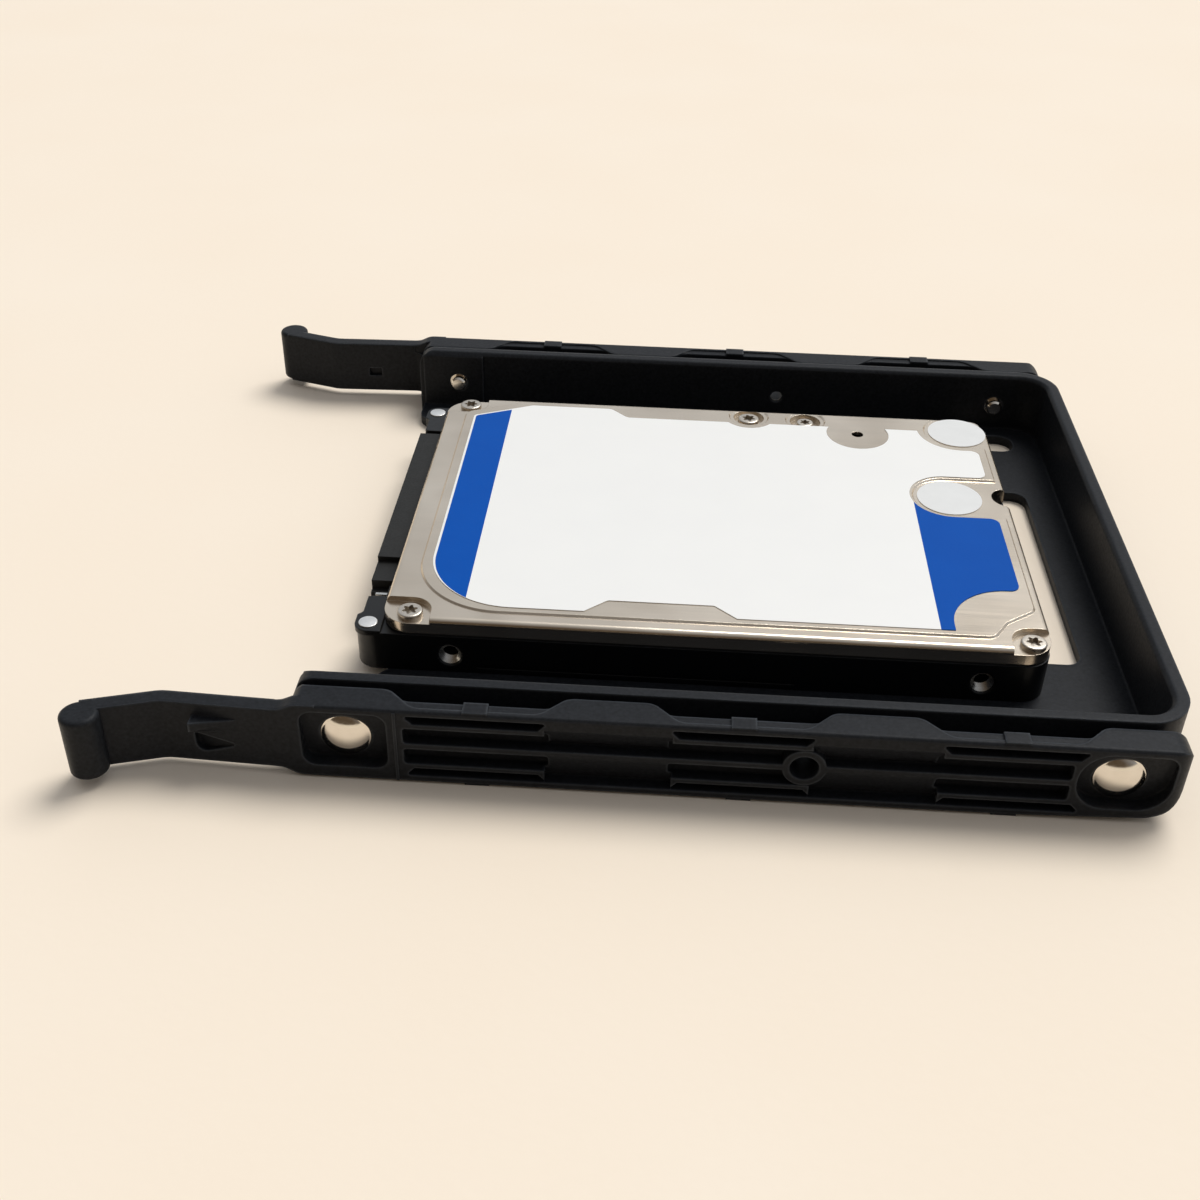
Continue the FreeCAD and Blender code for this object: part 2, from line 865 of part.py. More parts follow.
def latch_tooth():
    """Tooth that drops into the bay: an upright front face, a level top and a long ramp to the rear."""
    front_x = rail_front - catch_setback
    rear_x = front_x + catch_length
    top = arm_top - catch_brow
    foot = arm_bottom + catch_foot
    face = catch_face(front_x)
    root = face - catch_root
    rear_face = catch_face(rear_x)
    rear_root = rear_face - catch_root
    nose = face + catch_reach
    front_section = [(root, top), (nose, top), (nose, top - catch_edge), (face, foot), (root, foot)]
    rear_section = [
        (rear_root, top - catch_lean), (rear_face, top - catch_lean), (rear_face, top - 2 * catch_lean),
        (rear_face, foot + catch_lean), (rear_root, foot + catch_lean),
    ]

    def wire(x, section):
        points = [V(x, y, z) for y, z in section]
        return Part.makePolygon(points + points[:1])

    return Part.makeLoft([wire(front_x, front_section), wire(rear_x, rear_section)], True, True)


def catch_hollows():
    """Hollow under the tooth, fading out towards the rear, and the small dimple inside the blade."""
    front_x = rail_front - catch_setback
    rear_x = front_x + catch_length
    low = arm_bottom + catch_hollow_sill
    face = catch_face(front_x)
    profile = side_plate([
        (front_x, low, catch_hollow_round),
        (rear_x, low + catch_hollow_height / 2, catch_hollow_round / 4),
        (front_x, low + catch_hollow_height, catch_hollow_round / 4),
    ], half_plate - rail_gap, half_out + wall)
    wedge = prism([
        (front_x, face - catch_hollow, 0),
        (rear_x, catch_face(rear_x), 0),
        (rear_x, half_out + wall, 0),
        (front_x, half_out + wall, 0),
    ], arm_bottom, arm_top)
    dimple_x = front_x + catch_length / 2
    inner = catch_face(dimple_x) - arm_thick
    dimple_z = low + catch_hollow_height / 2
    dimple = block(
        dimple_x - dimple_width / 2, dimple_x + dimple_width / 2,
        inner - wall, inner + dimple_depth, dimple_z, dimple_z + dimple_height)
    return [profile.common(wedge), dimple]


def tray():
    side = joined([rail_body()] + rail_additions() + spring_arm())
    boss_bores = [
        cross_bore(boss_x, rail_middle, half_wall - wall / 2, half_out + wall, boss_bore / 2),
        cross_bore(boss_x, rail_middle, half_in - wall, half_out, boss_pilot / 2),
    ]
    cuts = rail_slots() + rail_recesses() + pin_pockets() + boss_bores + catch_hollows() + front_rounds()
    whole = joined([shell(), side, mirrored(side)])
    return whole.cut(cuts + [mirrored(c) for c in cuts] + floor_openings()).removeSplitter()


def pin(x, sign):
    """Turned pin: domed head in its counterbore outside, stepped shank, rounded tip inside the wall."""
    tip = pin_tip / 2
    shank = pin_shank / 2
    head = pin_head / 2
    shoulder = pin_seat - half_in
    length = shoulder + pin_reach
    dome_steps = 5
    dome = [
        (head * math.cos(math.radians(90 * k / dome_steps)),
         length + pin_head_edge + pin_head_dome * math.sin(math.radians(90 * k / dome_steps)))
        for k in range(dome_steps + 1)
    ]
    profile = [(0, 0), (tip - pin_tip_bevel, 0), (tip, pin_tip_bevel), (tip, pin_reach), (shank, pin_reach)]
    profile += [(shank, length), (head, length)] + dome[:-1] + [(0, dome[-1][1])]
    return turned(profile, V(x, sign * (half_in - pin_reach), pin_height), V(0, sign, 0))


def tray_screws():
    screws = []
    shank = thread_bore / 2 - screw_fit
    for x in hole_xs:
        for y in (-bottom_hole_width / 2, bottom_hole_width / 2):
            profile = [(0, 0), (screw_head / 2, 0), (shank, screw_head_height)]
            profile += [(shank, drive_bottom + screw_grip), (0, drive_bottom + screw_grip)]
            screws.append(turned(profile, V(x, y, 0), V(0, 0, 1)))
    return group(screws)


# Drive shell

def drive_base():
    """Cast base: ears beside the connector, a walled cavity above and a recess for the board below."""
    body = prism([
        (drive_front, -drive_half, ear_round),
        (drive_rear, -drive_half, base_rear_round),
        (drive_rear, drive_half, base_rear_round),
        (drive_front, drive_half, ear_round),
    ], drive_bottom, base_top)
    ear = prism([
        (drive_front, ear_inner, ear_round / 2),
        (cover_front - cover_inset, ear_inner, 0),
        (cover_front - cover_inset, drive_half, 0),
        (drive_front, drive_half, ear_round),
    ], base_top - sheet, drive_bottom + ear_height)
    spot = post(
        drive_front + ear_spot_from_front, drive_half - ear_spot_side,
        base_top - sheet, drive_bottom + ear_height + ear_spot_rise, ear_spot / 2)
    ears = [ear, spot, mirrored(ear), mirrored(spot)]
    inside_cover = prism(cover_plan(sheet + cover_clearance), cavity_z - sheet, well_floor - sheet)
    posts = [
        post(x, y, cavity_z - sheet, well_floor - sheet, cover_post).common(inside_cover)
        for x, y in cover_screw_places
    ]
    cavity = prism(
        rectangle(cover_front + base_wall, drive_rear - base_wall,
                  -drive_half + base_wall, drive_half - base_wall, cavity_round),
        cavity_z, base_top + sheet)
    hole_z = drive_bottom + side_hole_height
    bosses = [
        cross_bore(x, hole_z, drive_half - hole_boss_depth, drive_half - sheet, hole_boss) for x in hole_xs
    ]
    notch_pad = post(drive_rear, notch_y, cavity_z - sheet, base_top + 2 * sheet, notch_radius + gasket_width)
    cavity = cavity.cut(bosses + [mirrored(b) for b in bosses] + [notch_pad])
    hollow = body.fuse(ears).cut(cavity).fuse(posts)
    cuts = [
        block(drive_front - wall, cover_front, -ear_inner, ear_inner, drive_bottom - wall, drive_top),
        prism(rectangle(cover_front - wall, cover_front + board_length + board_clear,
                        -board_width / 2 - board_clear, board_width / 2 + board_clear, board_round),
              drive_bottom - wall, drive_bottom + board_recess),
        post(spindle_x, 0, drive_bottom - wall, cavity_z + sheet, motor_flange + screw_fit),
    ]
    for x, y in cover_screw_places:
        depth = cover_screw_length + sheet
        cuts.append(post(x, y, well_floor - depth, drive_top, cover_screw_shank / 2 + cover_screw_fit))
    for x in hole_xs:
        bore = cross_bore(x, hole_z, drive_half - side_hole_depth, drive_half + wall, thread_bore / 2)
        flare = Part.makeCone(
            thread_bore / 2, thread_bore / 2 + side_hole_flare, side_hole_flare,
            V(x, drive_half - side_hole_flare, hole_z), V(0, 1, 0))
        cuts += [bore, mirrored(bore), flare, mirrored(flare)]
        for y in (-bottom_hole_width / 2, bottom_hole_width / 2):
            cuts.append(post(x, y, drive_bottom - wall, drive_bottom + bottom_hole_depth, thread_bore / 2))
    seam = block(
        drive_front + seam_from_front, drive_front + seam_from_front + seam_length,
        drive_half - seam_depth, drive_half + wall,
        drive_bottom + seam_height, drive_bottom + seam_height + seam_width)
    step_y = drive_half - ear_step_side
    step = prism([
        (drive_front - over, ear_inner - over, 0),
        (drive_front + ear_step, ear_inner - over, 0),
        (drive_front + ear_step, step_y - ear_step, ear_step),
        (drive_front - over, step_y + over, 0),
    ], drive_bottom - over, drive_top)
    cuts += [seam, mirrored(seam), step, mirrored(step)]
    cuts += board_screw_bores()
    return hollow.cut(cuts).removeSplitter()


def cover_plan(inset):
    half = cover_half - inset
    return rectangle(cover_front + inset, cover_rear - inset, -half, half, cover_round - inset)


def plateau(inset, z0, z1):
    """Raised middle of the cover, clear of the corner screws and of the two seals."""
    x0 = cover_front + plateau_front + inset
    x1 = cover_rear - plateau_rear - inset
    y0 = -cover_half + plateau_side + inset
    y1 = cover_half - plateau_far - inset
    screw_x, screw_y = cover_screw_places[2]
    field = prism([
        (x0, y0, plateau_sweep),
        (screw_x - plateau_dip_front - inset, y0, plateau_corner),
        (screw_x - plateau_dip_x - inset, screw_y + plateau_dip_y + inset, plateau_dip),
        (x1, screw_y + plateau_dip_side + inset, plateau_corner),
        (x1, y1, plateau_corner),
        (x0 + label_bevel, y1, plateau_corner),
        (x0, y1 - label_bevel_drop, plateau_corner),
    ], z0, z1)
    corner = drive_front + seal_corner_x
    side = drive_front + seal_side_x
    low = z0 - over
    high = z1 + over
    clear_corner = seal_corner_diameter / 2 + plateau_seal_gap + inset
    clear_side = seal_side_diameter / 2 + plateau_seal_gap + inset
    cuts = [
        post(corner, seal_corner_y, low, high, clear_corner),
        block(corner, drive_rear, seal_corner_y - clear_corner, drive_half, low, high),
        post(side, seal_side_y, low, high, clear_side),
        block(side, drive_rear, seal_side_y - clear_side, seal_side_y + clear_side, low, high),
    ]
    for x, y in cover_screw_places[4:]:
        cuts.append(post(x, y, low, high, well_radius + plateau_well_gap + inset))
    return field.cut(cuts)


def corner_dent(x, y, grow, z0):
    """Lowered corner of the cover round a screw, open to both edges of the cover."""
    reach = dent_reach + grow
    side_x = math.copysign(1, x - spindle_x)
    side_y = math.copysign(1, y)
    far_x = x + side_x * 2 * cover_screw_front
    far_y = y + side_y * 2 * cover_screw_front
    return prism([
        (x - side_x * reach, y - side_y * reach, reach),
        (far_x, y - side_y * reach, 0),
        (far_x, far_y, 0),
        (x - side_x * reach, far_y, 0),
    ], z0, drive_top)


def drive_cover():
    """Deep-drawn lid of even sheet: rounded rim, raised middle, dents for the screws, a notch at the rear."""
    outer = prism(cover_plan(0), cover_low, flange_top)
    rim = [
        e for e in outer.Edges
        if abs(e.BoundBox.ZMin - flange_top) < near and e.BoundBox.ZLength < near
    ]
    outer = outer.makeFillet(cover_edge, rim)
    raised = plateau(0, flange_top - sheet / 2, plateau_top)
    shoulder = [e for e in raised.Edges if e.BoundBox.ZMin > plateau_top - near]
    outer = outer.fuse(raised.makeChamfer(plateau_edge, shoulder))
    inner = prism(cover_plan(sheet), cover_low - sheet, flange_top - sheet)
    inner = inner.fuse(plateau(sheet, flange_top - 2 * sheet, plateau_top - sheet))
    dents = [corner_dent(x, y, 0, well_floor) for x, y in cover_screw_places[:4]]
    dents += [post(x, y, well_floor, drive_top, well_radius) for x, y in cover_screw_places[4:]]
    low = well_floor - sheet
    jackets = [corner_dent(x, y, sheet, low) for x, y in cover_screw_places[:4]]
    jackets += [post(x, y, low, drive_top, well_radius + sheet) for x, y in cover_screw_places[4:]]
    dents.append(post(drive_rear, notch_y, base_top - sheet, drive_top, notch_radius))
    jackets.append(post(drive_rear, notch_y, base_top - sheet, drive_top, notch_radius + sheet))
    lid = outer.cut(dents + [inner.cut(jackets)])
    bores = [
        post(x, y, base_top, drive_top, cover_screw_shank / 2 + screw_pass / 2) for x, y in cover_screw_places
    ]
    bores.append(post(drive_front + breather_x, breather_y, base_top, drive_top, breather_bore / 2))
    return lid.cut(bores).removeSplitter()


def cover_gasket():
    """Flat ring under the rim of the cover, widened round the screw posts and the rear notch."""
    low = base_top - sheet
    high = cover_low + sheet
    field = prism(cover_plan(cover_inset), base_top, cover_low)
    pads = [post(x, y, low, high, cover_post + gasket_width) for x, y in cover_screw_places]
    pads.append(post(drive_rear, notch_y, low, high, notch_radius + gasket_width))
    middle = prism(cover_plan(cover_inset + gasket_width), low, high).cut(pads)
    clear = [post(x, y, low, high, cover_post + screw_fit) for x, y in cover_screw_places]
    clear.append(post(drive_rear, notch_y, low, high, notch_radius))
    return field.cut([middle] + clear).removeSplitter()


def cover_screws():
    shank = cover_screw_shank / 2
    rise = cover_screw_head_height
    screws = []
    for index, (x, y) in enumerate(cover_screw_places):
        head = small_screw_head / 2 if index == 5 else cover_screw_head / 2
        profile = [
            (0, -cover_screw_length), (shank, -cover_screw_length), (shank, 0), (head, 0),
            (head, rise - cover_screw_bevel), (head - cover_screw_bevel, rise), (0, rise),
        ]
        screws.append(turned(profile, V(x, y, well_floor), V(0, 0, 1)))
    return group(screws)


# Label and seals

def label_sheet():
    """Outline of the label, cut back round the screws, the breather and the seals."""
    z0 = plateau_top
    z1 = plateau_top + label_thick
    low = z0 - over
    high = z1 + over
    x0 = drive_front + label_front
    x1 = drive_front + label_rear
    step_x = drive_front + label_step_x
    step_y = label_far - label_far_step
    soft = label_far_step / 2
    sheet_plan = prism([
        (x0, -label_near, label_sweep),
        (x1, -label_near, soft),
        (x1, step_y, soft),
        (step_x + label_far_step / 2, step_y, soft),
        (step_x - label_far_step / 2, label_far, soft),
        (x0 + label_bevel, label_far, soft),
        (x0, label_far - label_bevel_drop, soft / 2),
    ], z0, z1)
    notch_x0 = drive_front + label_notch_x
    notch_y0 = -label_near + label_notch_depth
    half_top = label_notch_top / 2
    corner = drive_front + seal_corner_x
    side = drive_front + seal_side_x
    rear_x = drive_front + label_corner_x
    far = drive_rear
    cuts = [
        prism([
            (notch_x0 - half_top - label_notch_slope, -drive_half, 0),
            (notch_x0 - half_top - label_notch_slope, -label_near, 0),
            (notch_x0 - half_top, notch_y0, soft / 2),
            (notch_x0 + half_top, notch_y0, soft / 2),
            (notch_x0 + half_top + label_notch_slope, -label_near, 0),
            (notch_x0 + half_top + label_notch_slope, -drive_half, 0),
        ], low, high),
        post(drive_front + breather_x, breather_y, low, high, label_breather_clear),
        post(corner, seal_corner_y, low, high, seal_corner_clear),
        block(corner, far, seal_corner_y - seal_corner_clear, drive_half, low, high),
        post(side, seal_side_y, low, high, seal_side_clear),
        block(side, far, seal_side_y - seal_side_clear, seal_side_y + seal_side_clear, low, high),
        post(rear_x, label_corner_y, low, high, label_corner_clear),
        block(rear_x, far, -drive_half, label_corner_y + label_corner_clear, low, high),
        block(rear_x - label_corner_clear, far, -drive_half, label_corner_y, low, high),
    ]
    for x, y in cover_screw_places[4:5]:
        cuts.append(post(x, y, low, high, label_screw_clear))
    cut_sheet = sheet_plan.cut(cuts)
    rear_corners = [
        e for e in cut_sheet.Edges if e.BoundBox.XMin > x1 - near and e.BoundBox.YLength < near
    ]
    return cut_sheet.makeFillet(label_corner_round, rear_corners)


def label_regions():
    """The label's white sheet, which borders the front, and its two fields of colour, without overlap."""
    whole = label_sheet()
    z0 = plateau_top - over
    z1 = plateau_top + over
    band_box = block(drive_front, drive_front + label_band_x, -drive_half, drive_half, z0, z1)
    field_box = block(drive_front + label_field_x, drive_rear, -drive_half, label_field_top, z0, z1)
    inside = whole.translated(V(label_border, -label_border / 2, 0))
    band = whole.common(band_box).common(inside)
    return whole.cut([band, field_box]), band, whole.common(field_box)


def round_seal(x, y, diameter):
    return post(drive_front + x, y, flange_top, flange_top + seal_thick, diameter / 2)


# Board and connector

board_z = drive_bottom + board_lift
board_top = board_z + board_thick
board_front = cover_front + board_front_gap
board_rear = cover_front + board_length
board_half = board_width / 2
board_screw_places = [
    (board_front + board_screw_inset, -board_half + board_screw_inset),
    (board_front + board_screw_inset, board_half - board_screw_inset),
    (board_rear - board_screw_inset, -board_half + board_screw_inset),
    (board_rear - board_screw_inset, board_half - board_screw_inset),
]


def board_screw_bores():
    radius = board_screw_shank / 2 + screw_fit
    return [post(x, y, drive_bottom, cavity_z - sheet, radius) for x, y in board_screw_places]


def board_posts():
    """Standoffs of the cast base over the board's screws."""
    radius = board_screw_head / 2
    return [post(x, y, board_top, drive_bottom + board_recess, radius) for x, y in board_screw_places]


def circuit_board():
    plan = rectangle(board_front, board_rear, -board_half, board_half, board_round)
    board = prism(plan, board_z, board_top)
    holes = [
        post(x, y, board_z - sheet, board_top + sheet, board_screw_shank / 2 + screw_pass)
        for x, y in board_screw_places
    ]
    holes.append(post(spindle_x, 0, board_z - sheet, board_top + sheet, motor_flange + board_clear))
    return board.cut(holes)


def board_chips():
    """Controller, memory and motor driver, soldered on the face that looks into the base."""
    places = [
        (chip_from_front, controller_y, controller_size),
        (chip_from_front, memory_y, memory_size),
        (driver_from_front, driver_y, driver_size),
    ]
    chips = []
    for along, y, size in places:
        x = board_front + along
        half = size / 2
        chips.append(block(x - half, x + half, y - half, y + half, board_top, board_top + chip_height))
    return group(chips)


def board_screws():
    head = board_screw_head / 2
    shank = board_screw_shank / 2
    length = board_thick + board_recess / 2
    low = -board_screw_head_height
    profile = [(0, low), (head - board_screw_bevel, low), (head, 0), (shank, 0)]
    profile += [(shank, length), (0, length)]
    return group([turned(profile, V(x, y, board_z), V(0, 0, 1)) for x, y in board_screw_places])


connector_low = drive_bottom + connector_lift
connector_top = drive_bottom + ear_height
connector_y0 = connector_offset - connector_length / 2
connector_y1 = connector_offset + connector_length / 2
connector_back = cover_front - cover_inset
connector_face = connector_back - connector_depth
tongue_low = connector_low + connector_wall + tongue_gap
tongue_split = connector_y0 + connector_key
plug_end_y = connector_y0 - plug_end_length
plug_foot_y = plug_end_y - plug_foot_length


def sata_connector():
    """Moulded plug: a housing open to the front with two tongues, a stepped end and the jumper sill."""
    housing = block(connector_face, connector_back, connector_y0, connector_y1, connector_low, connector_top)
    mouth = block(
        connector_face - wall, connector_back - connector_wall,
        connector_y0 + connector_wall, connector_y1 - connector_wall,
        connector_low + connector_wall, connector_top - connector_wall)
    tongues = []
    for y0, y1 in ((connector_y0 + tongue_end, tongue_split - connector_wall),
                   (tongue_split + connector_wall, connector_y1 - tongue_end)):
        tongues.append(block(
            connector_face + connector_wall / 2, connector_back - connector_wall / 2,
            y0, y1, tongue_low, tongue_low + tongue_height))
    end = block(
        connector_face, connector_back, plug_end_y, connector_y0,
        connector_low, connector_top - plug_end_drop)
    foot = block(
        connector_face, connector_back, plug_foot_y, plug_end_y,
        connector_low, connector_top - plug_foot_drop)
    sill = block(
        connector_face + connector_wall, connector_back,
        -ear_inner + screw_pass, plug_foot_y, connector_low, connector_low + connector_wall)
    back = block(
        connector_back - connector_wall, connector_back,
        -ear_inner + screw_pass, plug_foot_y, connector_low, connector_top - connector_wall)
    return joined([housing.cut(mouth)] + tongues + [end, foot, sill, back])


def sata_contacts():
    """Row of flat contacts on the upper face of the tongues."""
    first = connector_offset - contact_pitch * (contact_count - 1) / 2
    z = tongue_low + tongue_height
    contacts = []
    for k in range(contact_count):
        y = first + k * contact_pitch
        if abs(y - tongue_split) < connector_wall + contact_width:
            continue
        contacts.append(block(
            connector_face + connector_wall, connector_back - connector_wall,
            y - contact_width / 2, y + contact_width / 2, z, z + contact_thick))
    return group(contacts)


def jumper_pins():
    """Square block of pins beside the plug."""
    middle = (plug_foot_y - ear_inner) / 2
    pins = []
    for row in range(jumper_rows):
        z = connector_low + connector_wall + jumper_lift / 2 + row * jumper_pitch
        for side in (-0.5, 0.5):
            y = middle + side * jumper_pitch
            pins.append(block(
                connector_face + connector_wall, connector_back - connector_wall,
                y - jumper_size / 2, y + jumper_size / 2, z, z + jumper_size))
    return group(pins)


# Spindle

hub_low = cavity_z + hub_lift
clamp_low = platter_high + platter_thick
hub_high = clamp_low - hub_top


def spindle_motor():
    """Fixed half of the motor: flange pressed in the base and the bearing sleeve."""
    profile = [
        (0, drive_bottom + board_lift), (motor_flange, drive_bottom + board_lift),
        (motor_flange, cavity_z), (motor_sleeve, cavity_z),
        (motor_sleeve, hub_high - sheet), (0, hub_high - sheet),
    ]
    return turned(profile, V(spindle_x, 0, 0), V(0, 0, 1))


def spindle_hub():
    bore = motor_sleeve + bearing_gap
    lid = hub_high - sheet + bearing_gap
    profile = [
        (bore, hub_low), (hub_flange, hub_low), (hub_flange, platter_low),
        (hub_radius, platter_low), (hub_radius, hub_high), (0, hub_high), (0, lid), (bore, lid),
    ]
    hub = turned(profile, V(spindle_x, 0, 0), V(0, 0, 1))
    return hub.cut(clamp_screw_shanks(screw_fit))


def ring(inner, outer, z0, z1):
    return post(spindle_x, 0, z0, z1, outer).cut(post(spindle_x, 0, z0 - over, z1 + over, inner))


def clamp_screw_shanks(extra):
    shanks = []
    for k in range(clamp_screw_count):
        turn = 2 * math.pi * k / clamp_screw_count
        x = spindle_x + clamp_screw_circle * math.cos(turn)
        y = clamp_screw_circle * math.sin(turn)
        low = clamp_low - clamp_screw_grip - extra
        shanks.append(post(x, y, low, clamp_low + clamp_thick, clamp_screw_radius / 2 + extra))
    return shanks


def platter_clamp():
    plate = post(spindle_x, 0, clamp_low, clamp_low + clamp_thick, hub_flange)
    return plate.cut(clamp_screw_shanks(screw_fit))


def clamp_screws():
    screws = []
    for shank in clamp_screw_shanks(0):
        box = shank.BoundBox
        head = post(box.Center.x, box.Center.y, box.ZMax, box.ZMax + clamp_screw_head, clamp_screw_radius)
        screws.append(shank.fuse(head).removeSplitter())
    return group(screws)


# Head actuator, drawn parked off the platters

arm_levels = [
    cavity_z + actuator_lift,
    platter_low + platter_thick + (platter_spacing - head_arm_thick) / 2,
    clamp_low + clamp_thick,
]
actuator_low = arm_levels[0]
actuator_high = arm_levels[2] + head_arm_thick
coil_z = cavity_z + coil_lift
coil_angle = park_angle - 180.0
yoke_first_angle = coil_angle - yoke_swing_angle
yoke_last_angle = coil_angle + yoke_park_angle


def polar(radius, angle):
    turn = math.radians(angle)
    return actuator_x + radius * math.cos(turn), pivot_y + radius * math.sin(turn)


def pivot_bearing():
    profile = [
        (0, cavity_z), (pivot_foot, cavity_z), (pivot_foot, cavity_z + actuator_lift / 2),
        (pivot_radius, cavity_z + actuator_lift / 2), (pivot_radius, actuator_high), (0, actuator_high),
    ]
    return turned(profile, V(actuator_x, pivot_y, 0), V(0, 0, 1))


def head_actuator():
    """Bored hub, three tapering arms towards the platters and a fork that holds the coil."""
    hub = post(actuator_x, pivot_y, actuator_low, actuator_high, actuator_hub)
    side = park_angle + 90.0
    across_x = math.cos(math.radians(side))
    across_y = math.sin(math.radians(side))
    end_x, end_y = polar(actuator_reach, park_angle)
    pieces = [hub]
    for level in arm_levels:
        pieces.append(prism([
            (actuator_x + head_arm_root * across_x, pivot_y + head_arm_root * across_y, 0),
            (actuator_x - head_arm_root * across_x, pivot_y - head_arm_root * across_y, 0),
            (end_x - head_arm_tip * across_x, end_y - head_arm_tip * across_y, head_arm_tip / 2),
            (end_x + head_arm_tip * across_x, end_y + head_arm_tip * across_y, head_arm_tip / 2),
        ], level, level + head_arm_thick))
    fork_inner = actuator_hub - sheet
    half = coil_half_angle + math.degrees(coil_fork / coil_inner)
    fork = sector(
        actuator_x, pivot_y, fork_inner, coil_outer - coil_fork_short,
        coil_angle - half, coil_angle + half, coil_z, coil_z + coil_thick)
    seat = sector(
        actuator_x, pivot_y, coil_inner - screw_fit, coil_outer + over,
        coil_angle - coil_half_angle - coil_fit_angle, coil_angle + coil_half_angle + coil_fit_angle,
        coil_z - over, coil_z + coil_thick + over)
    pieces.append(fork.cut(seat))
    bore = post(actuator_x, pivot_y, actuator_low - over, actuator_high + over, pivot_radius + bearing_gap)
    return joined(pieces).cut(bore)


def voice_coil():
    first = coil_angle - coil_half_angle
    last = coil_angle + coil_half_angle
    z1 = coil_z + coil_thick
    outer = sector(actuator_x, pivot_y, coil_inner, coil_outer, first, last, coil_z, z1)
    side = math.degrees(coil_wire / coil_outer)
    window = sector(
        actuator_x, pivot_y, coil_inner + coil_wire, coil_outer - coil_wire, first + side, last - side,
        coil_z - over, z1 + over)
    return outer.cut(window)


def head_sliders():
    """One slider at each platter face, under or over the end of its arm."""
    x, y = polar(actuator_reach - slider_length, park_angle)
    sliders = []
    lowest, middle, highest = arm_levels
    undersides = [
        lowest + head_arm_thick, middle - slider_thick,
        middle + head_arm_thick, highest - slider_thick,
    ]
    for z0 in undersides:
        piece = block(
            x - slider_length / 2, x + slider_length / 2, y - slider_width / 2, y + slider_width / 2,
            z0, z0 + slider_thick)
        piece.rotate(V(x, y, z0), V(0, 0, 1), park_angle)
        sliders.append(piece)
    return group(sliders)


def magnet_lower():
    z0 = cavity_z
    z1 = z0 + yoke_thick
    plate = sector(actuator_x, pivot_y, yoke_inner, yoke_outer, yoke_first_angle, yoke_last_angle, z0, z1)
    rim = math.degrees(magnet_rim / yoke_outer)
    magnet = sector(
        actuator_x, pivot_y, yoke_inner + magnet_rim, yoke_outer - magnet_rim,
        yoke_first_angle + rim, yoke_last_angle - rim, z0, coil_z - magnet_gap)
    return joined([plate, magnet])


def magnet_upper():
    """Upper yoke plate, carried on two posts outside the coil's sweep."""
    z0 = coil_z + coil_thick + magnet_gap
    z1 = z0 + yoke_thick
    plate = sector(actuator_x, pivot_y, yoke_inner, yoke_outer, yoke_first_angle, yoke_last_angle, z0, z1)
    posts = []
    low = cavity_z + yoke_thick
    for angle in (yoke_first_angle, yoke_last_angle):
        lean = math.degrees(yoke_post_inset / yoke_outer)
        inward = lean if angle == yoke_first_angle else -lean
        x, y = polar(yoke_outer - yoke_post_diameter / 2 - screw_fit, angle + inward)
        posts.append(post(x, y, low, z1, yoke_post_diameter / 2))
    return joined([plate] + posts)


def parking_ramp():
    x, y = polar(ramp_from_pivot + ramp_width / 2, park_angle)
    ramp = block(
        x - ramp_width / 2, x + ramp_width / 2, y - ramp_length / 2, y + ramp_length / 2,
        cavity_z, cavity_z + ramp_height)
    ramp.rotate(V(x, y, cavity_z), V(0, 0, 1), park_angle)
    return ramp


def flex_connector():
    x = drive_rear - flex_from_rear
    x0 = x - flex_length / 2
    y0 = flex_y - flex_width / 2
    plan = rectangle(x0, x0 + flex_length, y0, y0 + flex_width, flex_corner)
    return prism(plan, cavity_z, cavity_z + flex_height)


# Export, one file for each piece

label_white, label_blue_band, label_blue_field = label_regions()

pieces = {
    "tray": tray(),
    "pin_front_left": pin(pin_front, 1),
    "pin_front_right": pin(pin_front, -1),
    "pin_rear_left": pin(pin_rear, 1),
    "pin_rear_right": pin(pin_rear, -1),
    "tray_screws": tray_screws(),
    "drive_base": joined([drive_base()] + [p.cut(board_screw_bores()) for p in board_posts()]),
    "drive_cover": drive_cover(),
    "cover_gasket": cover_gasket(),
    "cover_screws": cover_screws(),
    "cover_label": label_white,
    "label_band": label_blue_band,
    "label_field": label_blue_field,
    "seal_corner": round_seal(seal_corner_x, seal_corner_y, seal_corner_diameter),
    "seal_side": round_seal(seal_side_x, seal_side_y, seal_side_diameter),
    "circuit_board": circuit_board(),
    "board_chips": board_chips(),
    "board_screws": board_screws(),
    "sata_connector": sata_connector(),
    "sata_contacts": sata_contacts(),
    "jumper_pins": jumper_pins(),
    "spindle_motor": spindle_motor(),
    "spindle_hub": spindle_hub(),
    "platter_lower": ring(hub_radius + platter_fit, platter_radius, platter_low, platter_low + platter_thick),
    "platter_spacer": ring(hub_radius + platter_fit, hub_flange, platter_low + platter_thick, platter_high),
    "platter_upper": ring(hub_radius + platter_fit, platter_radius, platter_high, clamp_low),
    "platter_clamp": platter_clamp(),
    "clamp_screws": clamp_screws(),
    "pivot_bearing": pivot_bearing(),
    "head_actuator": head_actuator(),
    "voice_coil": voice_coil(),
    "head_sliders": head_sliders(),
    "magnet_lower": magnet_lower(),
    "magnet_upper": magnet_upper(),
    "parking_ramp": parking_ramp(),
    "flex_connector": flex_connector(),
}

os.makedirs("parts", exist_ok=True)
for name, shape in pieces.items():
    shape.exportStep(os.path.join("parts", name + ".step"))
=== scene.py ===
import math

import bmesh
import bpy
from mathutils import Matrix, Vector


